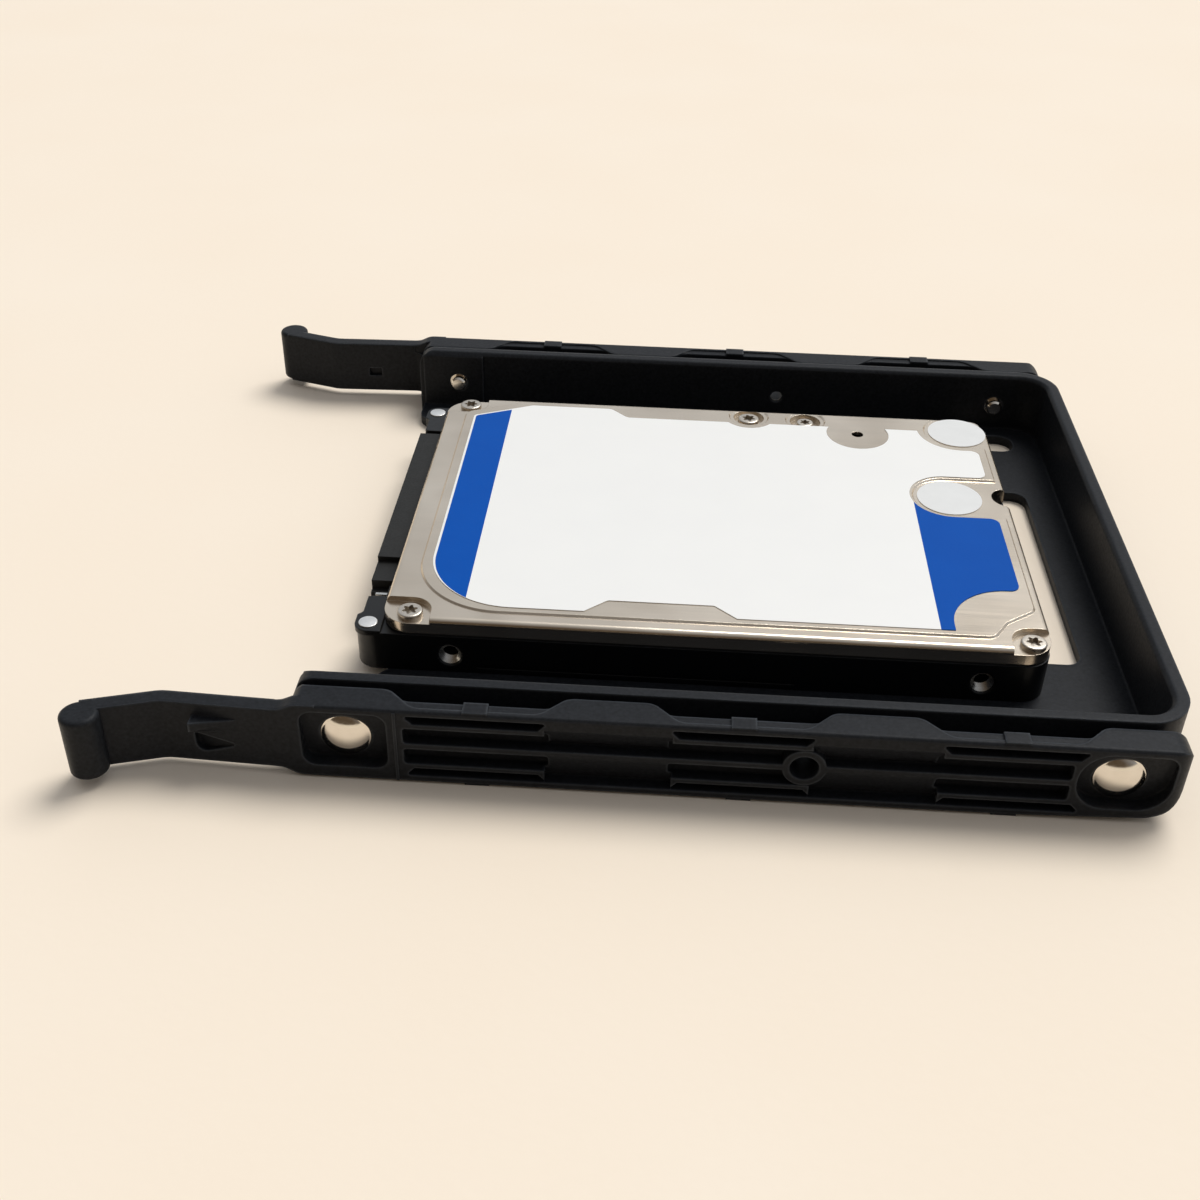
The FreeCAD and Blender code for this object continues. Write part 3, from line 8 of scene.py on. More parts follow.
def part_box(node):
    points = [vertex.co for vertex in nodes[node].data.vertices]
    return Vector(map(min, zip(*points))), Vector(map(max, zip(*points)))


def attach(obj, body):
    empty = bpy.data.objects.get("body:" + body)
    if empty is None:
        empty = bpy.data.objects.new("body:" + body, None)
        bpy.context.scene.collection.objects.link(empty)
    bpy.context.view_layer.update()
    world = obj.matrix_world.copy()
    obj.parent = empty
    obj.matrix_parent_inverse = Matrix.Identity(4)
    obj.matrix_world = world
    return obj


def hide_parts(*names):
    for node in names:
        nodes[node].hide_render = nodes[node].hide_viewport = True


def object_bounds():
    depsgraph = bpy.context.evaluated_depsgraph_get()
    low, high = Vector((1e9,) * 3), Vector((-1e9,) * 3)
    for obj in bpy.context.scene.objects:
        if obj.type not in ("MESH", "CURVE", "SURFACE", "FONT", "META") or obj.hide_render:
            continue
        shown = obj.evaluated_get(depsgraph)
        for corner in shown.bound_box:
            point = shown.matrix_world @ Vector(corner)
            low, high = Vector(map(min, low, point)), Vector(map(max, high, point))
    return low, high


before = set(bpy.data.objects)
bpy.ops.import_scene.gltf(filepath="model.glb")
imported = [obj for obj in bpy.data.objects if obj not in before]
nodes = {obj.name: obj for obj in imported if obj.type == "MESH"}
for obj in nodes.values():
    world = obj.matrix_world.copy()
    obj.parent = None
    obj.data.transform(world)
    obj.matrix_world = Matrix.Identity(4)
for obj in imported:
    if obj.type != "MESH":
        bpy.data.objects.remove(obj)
cad_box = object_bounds()

# The body that carries every piece drawn here
TRAY = "tray_with_drive"

MM = 0.001

# Sizes in millimetres of what is drawn finer here than in the solids

# Guide pins: radii and bevels, and how far seat and wall are from the tray's middle
pin_shank = 1.7
pin_tip = 1.4
pin_tip_bevel = 0.3
pin_head = 3.42
pin_head_under = 0.2
pin_head_edge = 0.12
pin_head_cap = 1.15
pin_seat = 54.4
pin_wall = 49.7

# Cover screws: six-lobe socket, and the head's seat and rounded edge.
# Lobes and flat are shares of a radius.
socket_width = 2.35
socket_depth = 0.72
socket_lobes = 0.19
well_depth = 1.15
head_edge = 0.26
head_flat = 0.84

# Cross-recessed screws: bevel of the head, and the recess's core and floor as shares of its
# outline
head_bevel = 0.05
cross_core = 0.34
cross_floor = 0.7
cross_sharpness = 6

# How far the first screw is turned and each next one more, in radians
socket_turns = (0.4, 0.7)
cross_turns = (0.3, 0.9)

# Threads in the drive's side holes
thread_bore = 3.0
thread_clearance = 0.01
thread_flare = 0.45
thread_pitch = 0.5
thread_height = 0.28
thread_length = 2.1
thread_wall = 0.03
thread_lip = 0.16
hole_height = 4.75
holes_from_front = (14.0, 90.6)

# Milled caps on the drive's front ears
ear_spot = 2.7
ear_spot_lap = 0.03
ear_spot_edge = 0.08
ear_spot_front = 1.9
ear_spot_side = 2.1
ear_spot_low = 8.4
ear_spot_high = 8.57

# Points nearer than weld are one, and edges bent by more degrees than crease are sharp
weld = 0.002
crease = 35

# Sockets of a Mix node for colours, by number, because its other kinds use the same names
FACTOR, COLOUR_A, COLOUR_B, MIXED = 0, 6, 7, 2

# The part of its range that a noise mostly keeps to
noise_low = 0.3
noise_high = 0.7

# Rays that look inwards for an edge near a point, the share of them that meets nothing where the
# painted edge highlight starts and where it is full, and the least highlight of a patch
edge_rays = 6
highlight_starts = 0.95
highlight_full = 0.45
highlight_least = 0.5


def linear(code):
    """The linear colour of an sRGB hex value."""
    parts = [int(code[i:i + 2], 16) / 255 for i in (1, 3, 5)]
    return [c / 12.92 if c <= 0.04045 else ((c + 0.055) / 1.055) ** 2.4 for c in parts] + [1.0]


def add(tree, kind, sockets=None, **settings):
    """One node of a tree. Each socket takes a value or another node's output."""
    node = tree.nodes.new(kind)
    for name, value in settings.items():
        setattr(node, name, value)
    for name, value in (sockets or {}).items():
        if isinstance(value, bpy.types.NodeSocket):
            tree.links.new(value, node.inputs[name])
        else:
            node.inputs[name].default_value = value
    return node


# What the finishes share

def surface(name, sockets):
    """A material, its tree and its one shader, with some of the shader's sockets set."""
    material = bpy.data.materials.new(name)
    material.use_nodes = True
    shader = material.node_tree.nodes["Principled BSDF"]
    for socket, value in sockets.items():
        shader.inputs[socket].default_value = value
    return material, material.node_tree, shader


def grain(tree, size, stretch=(1, 1, 1), detail=2.0):
    """Noise in patches about size millimetres across, drawn out along the axes by stretch."""
    place = add(tree, "ShaderNodeTexCoord").outputs["Object"]
    scale = [1 / (size * MM * s) for s in stretch]
    placed = add(tree, "ShaderNodeMapping", {"Vector": place, "Scale": scale}).outputs["Vector"]
    noise = add(tree, "ShaderNodeTexNoise", {"Vector": placed, "Scale": 1.0, "Detail": detail})
    return noise.outputs[0]


def tint(tree, shader, factor, dark, pale):
    """Colours a surface from dark to pale by a factor."""
    mix = add(tree, "ShaderNodeMix", {FACTOR: factor, COLOUR_A: dark, COLOUR_B: pale},
              data_type="RGBA")
    tree.links.new(mix.outputs[MIXED], shader.inputs["Base Color"])


def gloss(tree, shader, noise, smooth, rough):
    """Makes a surface smooth where a noise is low and rough where it is high."""
    spread = add(tree, "ShaderNodeMapRange",
                 {"Value": noise, "From Min": noise_low, "From Max": noise_high,
                  "To Min": smooth, "To Max": rough})
    tree.links.new(spread.outputs["Result"], shader.inputs["Roughness"])


def relief(tree, shader, height, depth, edge=0.0):
    """Raises a surface in bumps of a depth and eases its edges by a radius, both in millimetres."""
    bump = add(tree, "ShaderNodeBump", {"Height": height, "Distance": depth * MM, "Strength": 1.0})
    if edge:
        eased = add(tree, "ShaderNodeBevel", {"Radius": edge * MM}, samples=edge_rays)
        tree.links.new(eased.outputs["Normal"], bump.inputs["Normal"])
    tree.links.new(bump.outputs["Normal"], shader.inputs["Normal"])


def painted_edge_highlight(tree, reach, patch):
    """Painted highlight: rises from 0 on open faces to 1 along outer edges, in patches. Sizes in
    millimetres.
    """
    buried = add(tree, "ShaderNodeAmbientOcclusion", {"Distance": reach * MM},
                 samples=edge_rays, inside=True)
    near_edge = add(tree, "ShaderNodeMapRange",
                    {"Value": buried.outputs["AO"], "From Min": highlight_starts, "From Max": highlight_full})
    patches = add(tree, "ShaderNodeMapRange",
                  {"Value": grain(tree, patch), "From Min": noise_low, "From Max": noise_high,
                   "To Min": highlight_least, "To Max": 1.0})
    highlight_share = add(tree, "ShaderNodeMath",
               {0: near_edge.outputs["Result"], 1: patches.outputs["Result"]}, operation="MULTIPLY")
    return highlight_share.outputs["Value"]


def patchy(name, colours, rough, patch, tooth, depth, edge=0.0, metal=0.0, specular=0.5):
    """A finish whose colour drifts over patches and whose gloss and relief follow a finer tooth.

    Colours and roughness are pairs to run between. Sizes are in millimetres.
    """
    material, tree, shader = surface(name, {"Metallic": metal, "Specular IOR Level": specular})
    dark, pale = colours
    tint(tree, shader, grain(tree, patch), linear(dark), linear(pale))
    fine = grain(tree, tooth)
    gloss(tree, shader, fine, *rough)
    relief(tree, shader, fine, depth, edge)
    return material


# Finishes of the tray

def moulded_abs():
    """ABS moulded against a spark-eroded tool: near black, a faint sheen, and a painted highlight
    along its edges.

    Speckle and tooth are drawn about half a millimetre wide, coarser than the real ones, so that
    they show.
    """
    material, tree, shader = surface("moulded_black_abs", {"Specular IOR Level": 0.1})
    speckle = grain(tree, size=0.5, detail=5.0)
    body = add(tree, "ShaderNodeMix", {FACTOR: speckle, COLOUR_A: linear("#0E0F11"),
                                       COLOUR_B: linear("#2A2C30")}, data_type="RGBA")
    # Painted highlight: outer edges are coloured paler, towards #4A4E53, in patches, as if they
    # caught the light.
    highlit_edges = painted_edge_highlight(tree, reach=0.35, patch=5.0)
    tint(tree, shader, highlit_edges, body.outputs[MIXED], linear("#4A4E53"))
    tooth = grain(tree, size=0.45)
    gloss(tree, shader, tooth, smooth=0.34, rough=0.46)
    relief(tree, shader, tooth, depth=0.02, edge=0.65)
    return material


black_abs = moulded_abs()

# Nickel-plated turned steel: a warm bright mirror, faintly softened.
nickel = patchy("nickel_plated_steel", ("#D8CFC2", "#E6DFD4"), (0.10, 0.16),
                patch=2.0, tooth=0.4, depth=0.002, metal=1.0)

# Zinc-plated steel of small screws, threads and jumper pins: bright grey, a little dull.
zinc = patchy("zinc_plated_steel", ("#B9B8B4", "#CFCDC8"), (0.24, 0.34),
              patch=1.2, tooth=0.3, depth=0.003, metal=1.0)

# Finishes of the drive's outside

# Passivated steel of the cover's screws: warm grey, satin.
screw_steel = patchy("passivated_steel", ("#B7AEA2", "#CBC3B7"), (0.26, 0.36),
                     patch=1.0, tooth=0.25, depth=0.002, metal=1.0)

# Black electrocoat on die-cast aluminium: deep black, thin, slightly orange-peeled gloss.
ecoat = patchy("black_electrocoat", ("#060708", "#0B0C0D"), (0.30, 0.40),
               patch=5.0, tooth=0.8, depth=0.008, edge=0.3, specular=0.3)

# Bare die-cast aluminium, milled where the ears were faced: bright and fine-toothed.
bare_cast = patchy("milled_aluminium", ("#D4D3D0", "#E8E7E4"), (0.28, 0.42),
                   patch=0.8, tooth=0.2, depth=0.004, metal=1.0)

# Rubber gasket: dull black.
rubber = patchy("black_rubber", ("#141414", "#1C1C1C"), (0.7, 0.85),
                patch=1.5, tooth=0.3, depth=0.01)

# Printed polyester film: even white, half matt, with the faint tooth of its top coat.
white_film = patchy("white_polyester_film", ("#EFEEEB", "#F3F2EE"), (0.38, 0.48),
                    patch=9.0, tooth=0.4, depth=0.0015)

# The same film under a full print of blue: deep and even, with little shine.
blue_film = patchy("blue_printed_film", ("#004DA8", "#0152AF"), (0.40, 0.50),
                   patch=6.0, tooth=0.4, depth=0.0015, specular=0.05)

# Coated seal film: pale grey, satin.
seal_film = patchy("pale_seal_film", ("#DEDEDC", "#E8E8E6"), (0.30, 0.40),
                   patch=3.0, tooth=0.4, depth=0.002)

# Glass-filled nylon of the plug: dark grey, matt, soft at its edges.
nylon = patchy("black_glass_filled_nylon", ("#191918", "#232322"), (0.45, 0.6),
               patch=1.5, tooth=0.25, depth=0.01, edge=0.15, specular=0.2)

# Gold over nickel on contacts: warm yellow, clean gloss.
gold = patchy("gold_plated_contact", ("#D6A94E", "#E3BD6A"), (0.18, 0.28),
              patch=0.8, tooth=0.2, depth=0.001, metal=1.0)

# Green solder mask of the board: satin, slightly uneven.
solder_mask = patchy("green_solder_mask", ("#0C3D27", "#12492F"), (0.3, 0.42),
                     patch=3.0, tooth=0.6, depth=0.01)

# Moulded epoxy of chips: dark grey, dull.
epoxy = patchy("black_epoxy", ("#17181A", "#202123"), (0.55, 0.7),
               patch=1.0, tooth=0.2, depth=0.006)


def brushed_stainless():
    """Stainless sheet, brushed lengthwise before it was drawn: warm grey, cloudy, soft reflections.

    The brush lines are drawn 0.35 mm wide, coarser than the real ones, so that they show as streaks
    in the gloss.
    """
    material, tree, shader = surface("brushed_stainless_steel", {"Metallic": 1.0})
    clouds = grain(tree, size=14.0)
    tint(tree, shader, clouds, linear("#B8AA97"), linear("#F2E5D3"))
    lines = grain(tree, size=0.35, stretch=(40, 1, 1), detail=3.0)
    gloss(tree, shader, lines, smooth=0.22, rough=0.27)
    relief(tree, shader, grain(tree, size=0.3), depth=0.0004, edge=0.12)
    return material


stainless = brushed_stainless()

# Finishes of the drive's inside

# Turned stainless steel of motor and bearing, and plated magnets: neutral grey, bright.
steel = patchy("turned_stainless_steel", ("#B8B6B1", "#CBC9C4"), (0.18, 0.3),
               patch=1.5, tooth=0.3, depth=0.002, metal=1.0)

# Machined aluminium of hub, spacer, clamp and arms: pale, satin.
aluminium = patchy("machined_aluminium", ("#C9CACB", "#DBDCDD"), (0.25, 0.38),
                   patch=1.5, tooth=0.3, depth=0.003, metal=1.0)

# Sputtered disc: a cool grey mirror.
disc = patchy("sputtered_disc", ("#C2C3C6", "#CBCCCF"), (0.03, 0.06),
              patch=6.0, tooth=1.0, depth=0.0002, metal=1.0)

# Enamelled copper winding: red-brown gloss, mottled at about the width of its wire.
copper = patchy("enamelled_copper", ("#A8592E", "#C4713D"), (0.28, 0.4),
                patch=0.4, tooth=0.15, depth=0.01, metal=1.0)

# Acetal of the ramp: ivory, waxy.
acetal = patchy("ivory_acetal", ("#E3DECF", "#ECE8DC"), (0.35, 0.5),
                patch=1.5, tooth=0.3, depth=0.003)

# Ceramic of the sliders: dark, smooth.
ceramic = patchy("dark_ceramic", ("#2B2B2D", "#343437"), (0.2, 0.3),
                 patch=0.5, tooth=0.1, depth=0.001)

# Polyimide of the flexible circuit: amber, smooth.
polyimide = patchy("amber_polyimide", ("#A96A1C", "#C07F2A"), (0.25, 0.38),
                   patch=2.0, tooth=0.3, depth=0.002)


# Shapes

def dress(piece, material):
    """Gives a piece one finish all over."""
    piece.data.materials.clear()
    piece.data.materials.append(material)


def add_piece(name, mesh, material, *stands_for):
    """A mesh in the scene that moves with the tray and stands for CAD nodes."""
    piece = bpy.data.objects.new(name, mesh)
    bpy.context.scene.collection.objects.link(piece)
    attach(piece, TRAY)
    if stands_for:
        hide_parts(*stands_for)
    dress(piece, material)


def ringed(name, rings, steps):
    """A round mesh about Z through rings of height and radius.

    A radius may be a function of the angle.
    """
    form = bmesh.new()
    loops = []
    for height, radius in rings:
        if radius == 0:
            loops.append([form.verts.new((0, 0, height * MM))] * steps)
            continue
        loop = []
        for i in range(steps):
            angle = 2 * math.pi * i / steps
            reach = (radius(angle) if callable(radius) else radius) * MM
            place = (reach * math.cos(angle), reach * math.sin(angle), height * MM)
            loop.append(form.verts.new(place))
        loops.append(loop)
    for low, high in zip(loops, loops[1:]):
        for i in range(steps):
            j = (i + 1) % steps
            corners = [low[i], low[j], high[j], high[i]]
            form.faces.new(list(dict.fromkeys(corners)))
    bmesh.ops.recalc_face_normals(form, faces=form.faces)
    for face in form.faces:
        face.smooth = True
    mesh = bpy.data.meshes.new(name)
    form.to_mesh(mesh)
    form.free()
    mesh.set_sharp_from_angle(angle=math.radians(crease))
    return mesh


def rounding(inner, outer, base, rise, steps):
    """Rings of a quarter round, from radius outer at height base to radius inner, rise higher."""
    quarter = [math.pi / 2 * i / steps for i in range(steps + 1)]
    return [(base + rise * math.sin(t), inner + (outer - inner) * math.cos(t)) for t in quarter]


def ball_cap(radius, base, rise, steps):
    """Rings of a shallow cap cut from a ball, from radius at height base to its top."""
    ball = (radius ** 2 + rise ** 2) / (2 * rise)
    widest = math.asin(radius / ball)
    turns = [widest * (1 - i / steps) for i in range(steps)]
    rings = [(base + rise - ball * (1 - math.cos(t)), ball * math.sin(t)) for t in turns]
    return rings + [(base + rise, 0)]


def solids_of(name):
    """The lowest and highest corner of each separate solid of a node."""
    form = bmesh.new()
    form.from_mesh(nodes[name].data)
    bmesh.ops.remove_doubles(form, verts=form.verts, dist=weld * MM)
    seen = set()
    boxes = []
    for start in form.verts:
        if start in seen:
            continue
        seen.add(start)
        queue = [start]
        places = []
        while queue:
            vertex = queue.pop()
            places.append(vertex.co.copy())
            for edge in vertex.link_edges:
                other = edge.other_vert(vertex)
                if other not in seen:
                    seen.add(other)
                    queue.append(other)
        boxes.append((Vector(map(min, zip(*places))), Vector(map(max, zip(*places)))))
    form.free()
    return boxes


def copies_tree():
    """A tree that sets a part at each point, by the point's own size and turn about Z."""
    tree = bpy.data.node_groups.new("copies_at_points", "GeometryNodeTree")
    face = tree.interface
    face.new_socket("Geometry", in_out="INPUT", socket_type="NodeSocketGeometry")
    face.new_socket("Part", in_out="INPUT", socket_type="NodeSocketObject")
    face.new_socket("Finish", in_out="INPUT", socket_type="NodeSocketMaterial")
    face.new_socket("Geometry", in_out="OUTPUT", socket_type="NodeSocketGeometry")
    given = add(tree, "NodeGroupInput").outputs
    part = add(tree, "GeometryNodeObjectInfo", {"Object": given["Part"]}).outputs["Geometry"]
    size = add(tree, "GeometryNodeInputNamedAttribute", {"Name": "size"}, data_type="FLOAT")
    turn = add(tree, "GeometryNodeInputNamedAttribute", {"Name": "turn"}, data_type="FLOAT")
    angles = add(tree, "ShaderNodeCombineXYZ", {"Z": turn.outputs["Attribute"]}).outputs["Vector"]
    rotation = add(tree, "FunctionNodeEulerToRotation", {"Euler": angles}).outputs["Rotation"]
    spread = add(tree, "GeometryNodeInstanceOnPoints",
                 {"Points": given["Geometry"], "Instance": part, "Rotation": rotation,
                  "Scale": size.outputs["Attribute"]})
    real = add(tree, "GeometryNodeRealizeInstances", {"Geometry": spread.outputs["Instances"]})
    dressed = add(tree, "GeometryNodeSetMaterial", {"Geometry": real.outputs["Geometry"],
                                                    "Material": given["Finish"]})
    add(tree, "NodeGroupOutput", {"Geometry": dressed.outputs["Geometry"]})
    return tree


copies_at_points = copies_tree()


def set_out(name, part, places, material, *stands_for):
    """Copies of a part at places, each a point with a size and a turn, as one piece."""
    points = bpy.data.meshes.new(name + "_points")
    points.from_pydata([place for place, size, turn in places], [], [])
    sizes = points.attributes.new("size", "FLOAT", "POINT")
    turns = points.attributes.new("turn", "FLOAT", "POINT")
    for i, (place, size, turn) in enumerate(places):
        sizes.data[i].value = size
        turns.data[i].value = turn
    pattern = bpy.data.objects.new(name + "_pattern", part)
    carrier = bpy.data.objects.new(name + "_carrier", points)
    bpy.context.scene.collection.objects.link(carrier)
    modifier = carrier.modifiers.new("copies", "NODES")
    modifier.node_group = copies_at_points
    sockets = copies_at_points.interface.items_tree
    given = {socket.name: socket.identifier for socket in sockets if socket.in_out == "INPUT"}
    modifier[given["Part"]] = pattern
    modifier[given["Finish"]] = material
    evaluated = carrier.evaluated_get(bpy.context.evaluated_depsgraph_get())
    mesh = bpy.data.meshes.new_from_object(evaluated)
    mesh.name = name
    carrier.modifiers.clear()
    bpy.data.objects.remove(carrier)
    bpy.data.objects.remove(pattern)
    add_piece(name, mesh, material, *stands_for)


# Tray

def guide_pins():
    """Four turned pins with polished caps, each from its seat outwards.

    The heads fill their counterbores.
    """
    names = ["pin_front_left", "pin_front_right", "pin_rear_left", "pin_rear_right"]
    low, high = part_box(names[0])
    apex = high.y / MM - pin_seat
    inner = low.y / MM - pin_seat
    shoulder = pin_wall - pin_seat
    rim = apex - pin_head_cap
    top = pin_head - pin_head_edge
    rings = [(inner, 0), (inner, pin_tip - pin_tip_bevel), (inner + pin_tip_bevel, pin_tip)]
    rings += [(shoulder, pin_tip), (shoulder, pin_shank), (0, pin_shank)]
    rings += [(0, pin_head - pin_head_under), (pin_head_under, pin_head)]
    rings += rounding(top, pin_head, rim - pin_head_edge, pin_head_edge, steps=5)[:-1]
    rings += ball_cap(top, rim, pin_head_cap, steps=14)
    turned = ringed("guide_pin", rings, steps=64)
    turned.transform(Matrix.Rotation(-math.pi / 2, 4, "X"))
    places = []
    for name in names:
        low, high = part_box(name)
        middle = (low + high) / 2
        side = math.copysign(1, middle.y)
        places.append(((middle.x, side * pin_seat * MM, middle.z), 1, 0 if side > 0 else math.pi))
    set_out("guide_pins", turned, places, nickel, *names)


guide_pins()


# Screws of drive and tray

def six_lobe(angle):
    """Radius of the drive socket in a cover screw."""
    return socket_width / 2 * (1 - socket_lobes + socket_lobes * math.cos(6 * angle))


def cover_screws():
    """Pan heads with a six-lobe socket, sunk in the cover's wells."""
    boxes = solids_of("cover_screws")
    widest = max(high.x - low.x for low, high in boxes)
    top = boxes[0][1].z / MM
    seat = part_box("drive_cover")[1].z / MM - well_depth
    radius = widest / MM / 2
    height = top - seat
    rings = [(height - socket_depth, 0), (height - socket_depth, six_lobe), (height, six_lobe)]
    rings += rounding(radius * head_flat, radius, height - head_edge, head_edge, steps=6)[::-1]
    rings += [(0, radius), (0, 0)]
    head = ringed("cover_screw", rings, steps=72)
    first, step = socket_turns
    places = []
    for i, (low, high) in enumerate(sorted(boxes, key=lambda b: tuple(b[0]))):
        middle = (low + high) / 2
        size = (high.x - low.x) / widest
        places.append(((middle.x, middle.y, high.z - height * MM * size), size, first + step * i))
    set_out("cover_screw_heads", head, places, screw_steel, "cover_screws")


cover_screws()


def recessed_screws(node, head_height, shank, cross, depth):
    """Screws of a node, seen from below, with a cross recess in each head."""
    boxes = solids_of(node)
    low, high = boxes[0]
    head = (high.x - low.x) / MM / 2
    length = (high.z - low.z) / MM

    def outline(angle):
        arms = abs(math.cos(2 * angle)) ** cross_sharpness
        return cross / 2 * (cross_core + (1 - cross_core) * arms)

    def bottom(angle):
        return cross_floor * outline(angle)

    rings = [(depth, 0), (depth, bottom), (0, outline), (0, head - head_bevel), (head_bevel, head)]
    rings += [(head_height, shank), (length, shank), (length, 0)]
    screw = ringed(node + "_pattern", rings, steps=96)
    first, step = cross_turns
    places = []
    for i, (low, high) in enumerate(boxes):
        middle = (low + high) / 2
        places.append(((middle.x, middle.y, low.z), 1, first + step * i))
    set_out(node + "_heads", screw, places, zinc, node)


recessed_screws("tray_screws", head_height=1.4, shank=1.45, cross=2.9, depth=0.9)
recessed_screws("board_screws", head_height=0.4, shank=0.7, cross=1.9, depth=0.3)


# Drive

def ear_spots():
    """Bright milled caps on the two front ears."""
    low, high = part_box("drive_base")
    radius = ear_spot / 2 + ear_spot_lap
    rise = ear_spot_high - ear_spot_low
    rings = [(0, 0), (0, radius)]
    rings += rounding(radius - ear_spot_edge, radius, rise - ear_spot_edge, ear_spot_edge, steps=4)
    rings += [(rise, 0)]
    cap = ringed("ear_spot", rings, steps=48)
    x = low.x + ear_spot_front * MM
    y = high.y - ear_spot_side * MM
    z = ear_spot_low * MM
    set_out("ear_spots", cap, [((x, y, z), 1, 0), ((x, -y, z), 1, 0)], bare_cast)


ear_spots()


def side_threads():
    """Cut threads in the drive's four side holes, each with a bright lip in its countersink."""
    low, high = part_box("drive_base")
    bore = thread_bore / 2 - thread_clearance
    crest = bore - thread_wall
    mouth = thread_length - thread_flare
    turns = int(mouth / thread_pitch)
    rings = [(0, crest), (0, bore), (mouth, bore)]
    rings += [(mouth + thread_lip, bore + thread_lip), (mouth, crest)]
    for k in range(turns):
        start = mouth - k * thread_pitch
        rings += [(start - thread_pitch / 2, crest - thread_height), (start - thread_pitch, crest)]
    rings += [(0, crest)]
    liner = ringed("thread", rings, steps=48)
    liner.transform(Matrix.Rotation(-math.pi / 2, 4, "X"))
    y = high.y - thread_length * MM
    z = hole_height * MM
    places = []
    for along in holes_from_front:
        x = low.x + along * MM
        places += [((x, y, z), 1, 0), ((x, -y, z), 1, math.pi)]
    set_out("side_threads", liner, places, zinc)


side_threads()


def plain_finishes():
    """Nodes whose own form is shown get their finish."""
    finishes = {
        black_abs: ["tray"],
        ecoat: ["drive_base"],
        stainless: ["drive_cover"],
        zinc: ["clamp_screws", "jumper_pins"],
        rubber: ["cover_gasket"],
        white_film: ["cover_label"],
        blue_film: ["label_band", "label_field"],
        seal_film: ["seal_corner", "seal_side"],
        solder_mask: ["circuit_board"],
        epoxy: ["board_chips"],
        nylon: ["sata_connector"],
        gold: ["sata_contacts"],
        steel: ["spindle_motor", "pivot_bearing", "magnet_lower", "magnet_upper"],
        aluminium: ["spindle_hub", "platter_spacer", "platter_clamp", "head_actuator"],
        disc: ["platter_lower", "platter_upper"],
        copper: ["voice_coil"],
        ceramic: ["head_sliders"],
        acetal: ["parking_ramp"],
        polyimide: ["flex_connector"],
    }
    for material, names in finishes.items():
        for name in names:
            dress(nodes[name], material)


plain_finishes()


# Floor, light and camera

# Half the floor's side in metres, and how far it lies under the tray in millimetres
floor_half = 3.0
floor_drop = 0.02

# The lamp's strength, its breadth in degrees and the way that it shines
window_strength = 2.1
window_breadth = 32
window_way = (-0.32, -0.43, -0.84)

# The room's strength and bright side, and how far towards that side it is still dim and when it is
# wholly bright
room_strength = 1.1
room_side = (0.45, 0.75, 0.48)
room_dim = -0.4
room_bright = 0.6

# Heights over the horizon, as sines, where the backdrop starts to fade and where it ends
backdrop_fades = 0.13
backdrop_ends = 0.18

# Lens and film in millimetres, nearest sight and place in metres, and turns in degrees
camera_lens = 44.01
camera_film = 36
camera_near = 0.01
camera_place = (0.003619, -0.203740, 0.132920)
camera_turns = (55.295, -0.995, 3.689)


def studio_floor():
    """Pale warm paper under the tray."""
    paper = patchy("warm_paper", ("#F9E9D4", "#FBEEDC"), (0.8, 0.9),
                   patch=60.0, tooth=1.5, depth=0.02)
    under = cad_box[0][2] - floor_drop * MM
    signs = [(-1, -1), (1, -1), (1, 1), (-1, 1)]
    corners = [(x * floor_half, y * floor_half, under) for x, y in signs]
    mesh = bpy.data.meshes.new("floor")
    mesh.from_pydata(corners, [], [(0, 1, 2, 3)])
    floor = bpy.data.objects.new("floor", mesh)
    bpy.context.scene.collection.objects.link(floor)
    dress(floor, paper)


studio_floor()


def window_light():
    """Broad daylight from over the closed end: soft shadows fall to the arms and the viewer."""
    lamp = bpy.data.lights.new("window_light", "SUN")
    lamp.energy = window_strength
    lamp.angle = math.radians(window_breadth)
    lamp.color = linear("#FFFDF9")[:3]
    holder = bpy.data.objects.new("window_light", lamp)
    holder.rotation_euler = Vector(window_way).to_track_quat("-Z", "Y").to_euler()
    bpy.context.scene.collection.objects.link(holder)


window_light()


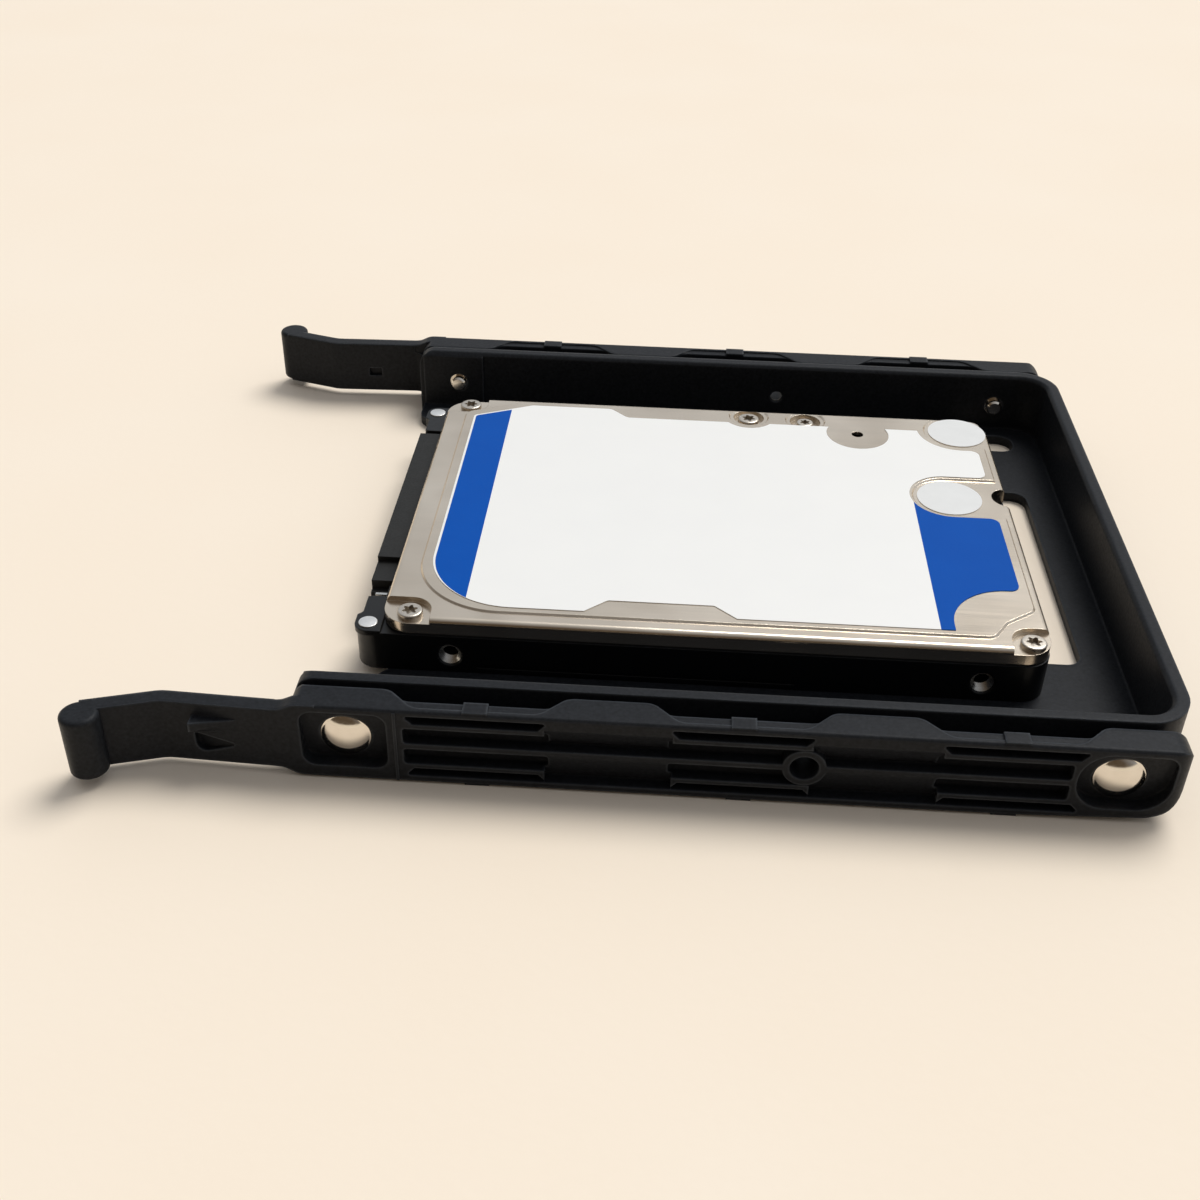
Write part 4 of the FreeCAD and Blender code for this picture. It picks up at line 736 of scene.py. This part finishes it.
def room_light():
    """A room that is bright behind, above and at the closed end, and dim at the viewer's side.

    Low down, what is seen of it, straight or as an image in metal, is a paper backdrop like the
    floor.
    """
    world = bpy.data.worlds.new("room")
    world.use_nodes = True
    tree = world.node_tree
    way = add(tree, "ShaderNodeTexCoord").outputs["Generated"]
    towards = add(tree, "ShaderNodeVectorMath", {0: way, 1: room_side}, operation="DOT_PRODUCT")
    share = add(tree, "ShaderNodeMapRange",
                {"Value": towards.outputs["Value"], "From Min": room_dim, "From Max": room_bright})
    room = add(tree, "ShaderNodeMix",
               {FACTOR: share.outputs["Result"], COLOUR_A: linear("#54483A"),
                COLOUR_B: linear("#C4C9D0")}, data_type="RGBA")
    rays = add(tree, "ShaderNodeLightPath").outputs
    seen = add(tree, "ShaderNodeMath",
               {0: rays["Is Camera Ray"], 1: rays["Is Glossy Ray"]}, operation="ADD")
    seen = add(tree, "ShaderNodeMath",
               {0: seen.outputs["Value"], 1: rays["Is Transmission Ray"]},
               operation="ADD", use_clamp=True)
    height = add(tree, "ShaderNodeSeparateXYZ", {"Vector": way}).outputs["Z"]
    low = add(tree, "ShaderNodeMapRange",
              {"Value": height, "From Min": backdrop_ends, "From Max": backdrop_fades})
    shown = add(tree, "ShaderNodeMath",
                {0: seen.outputs["Value"], 1: low.outputs["Result"]}, operation="MULTIPLY")
    colour = add(tree, "ShaderNodeMix",
                 {FACTOR: shown.outputs["Value"], COLOUR_A: room.outputs[MIXED],
                  COLOUR_B: linear("#EDE2D0")}, data_type="RGBA")
    background = tree.nodes["Background"]
    tree.links.new(colour.outputs[MIXED], background.inputs["Color"])
    background.inputs["Strength"].default_value = room_strength
    bpy.context.scene.world = world


room_light()


def photo_camera():
    """A camera at the photograph's place and angle."""
    lens = bpy.data.cameras.new("photo_camera")
    lens.sensor_width = camera_film
    lens.lens = camera_lens
    lens.clip_start = camera_near
    holder = bpy.data.objects.new("photo_camera", lens)
    holder.location = camera_place
    holder.rotation_euler = [math.radians(angle) for angle in camera_turns]
    bpy.context.scene.collection.objects.link(holder)
    bpy.context.scene.camera = holder


photo_camera()

bpy.context.scene.view_settings.view_transform = "Standard"
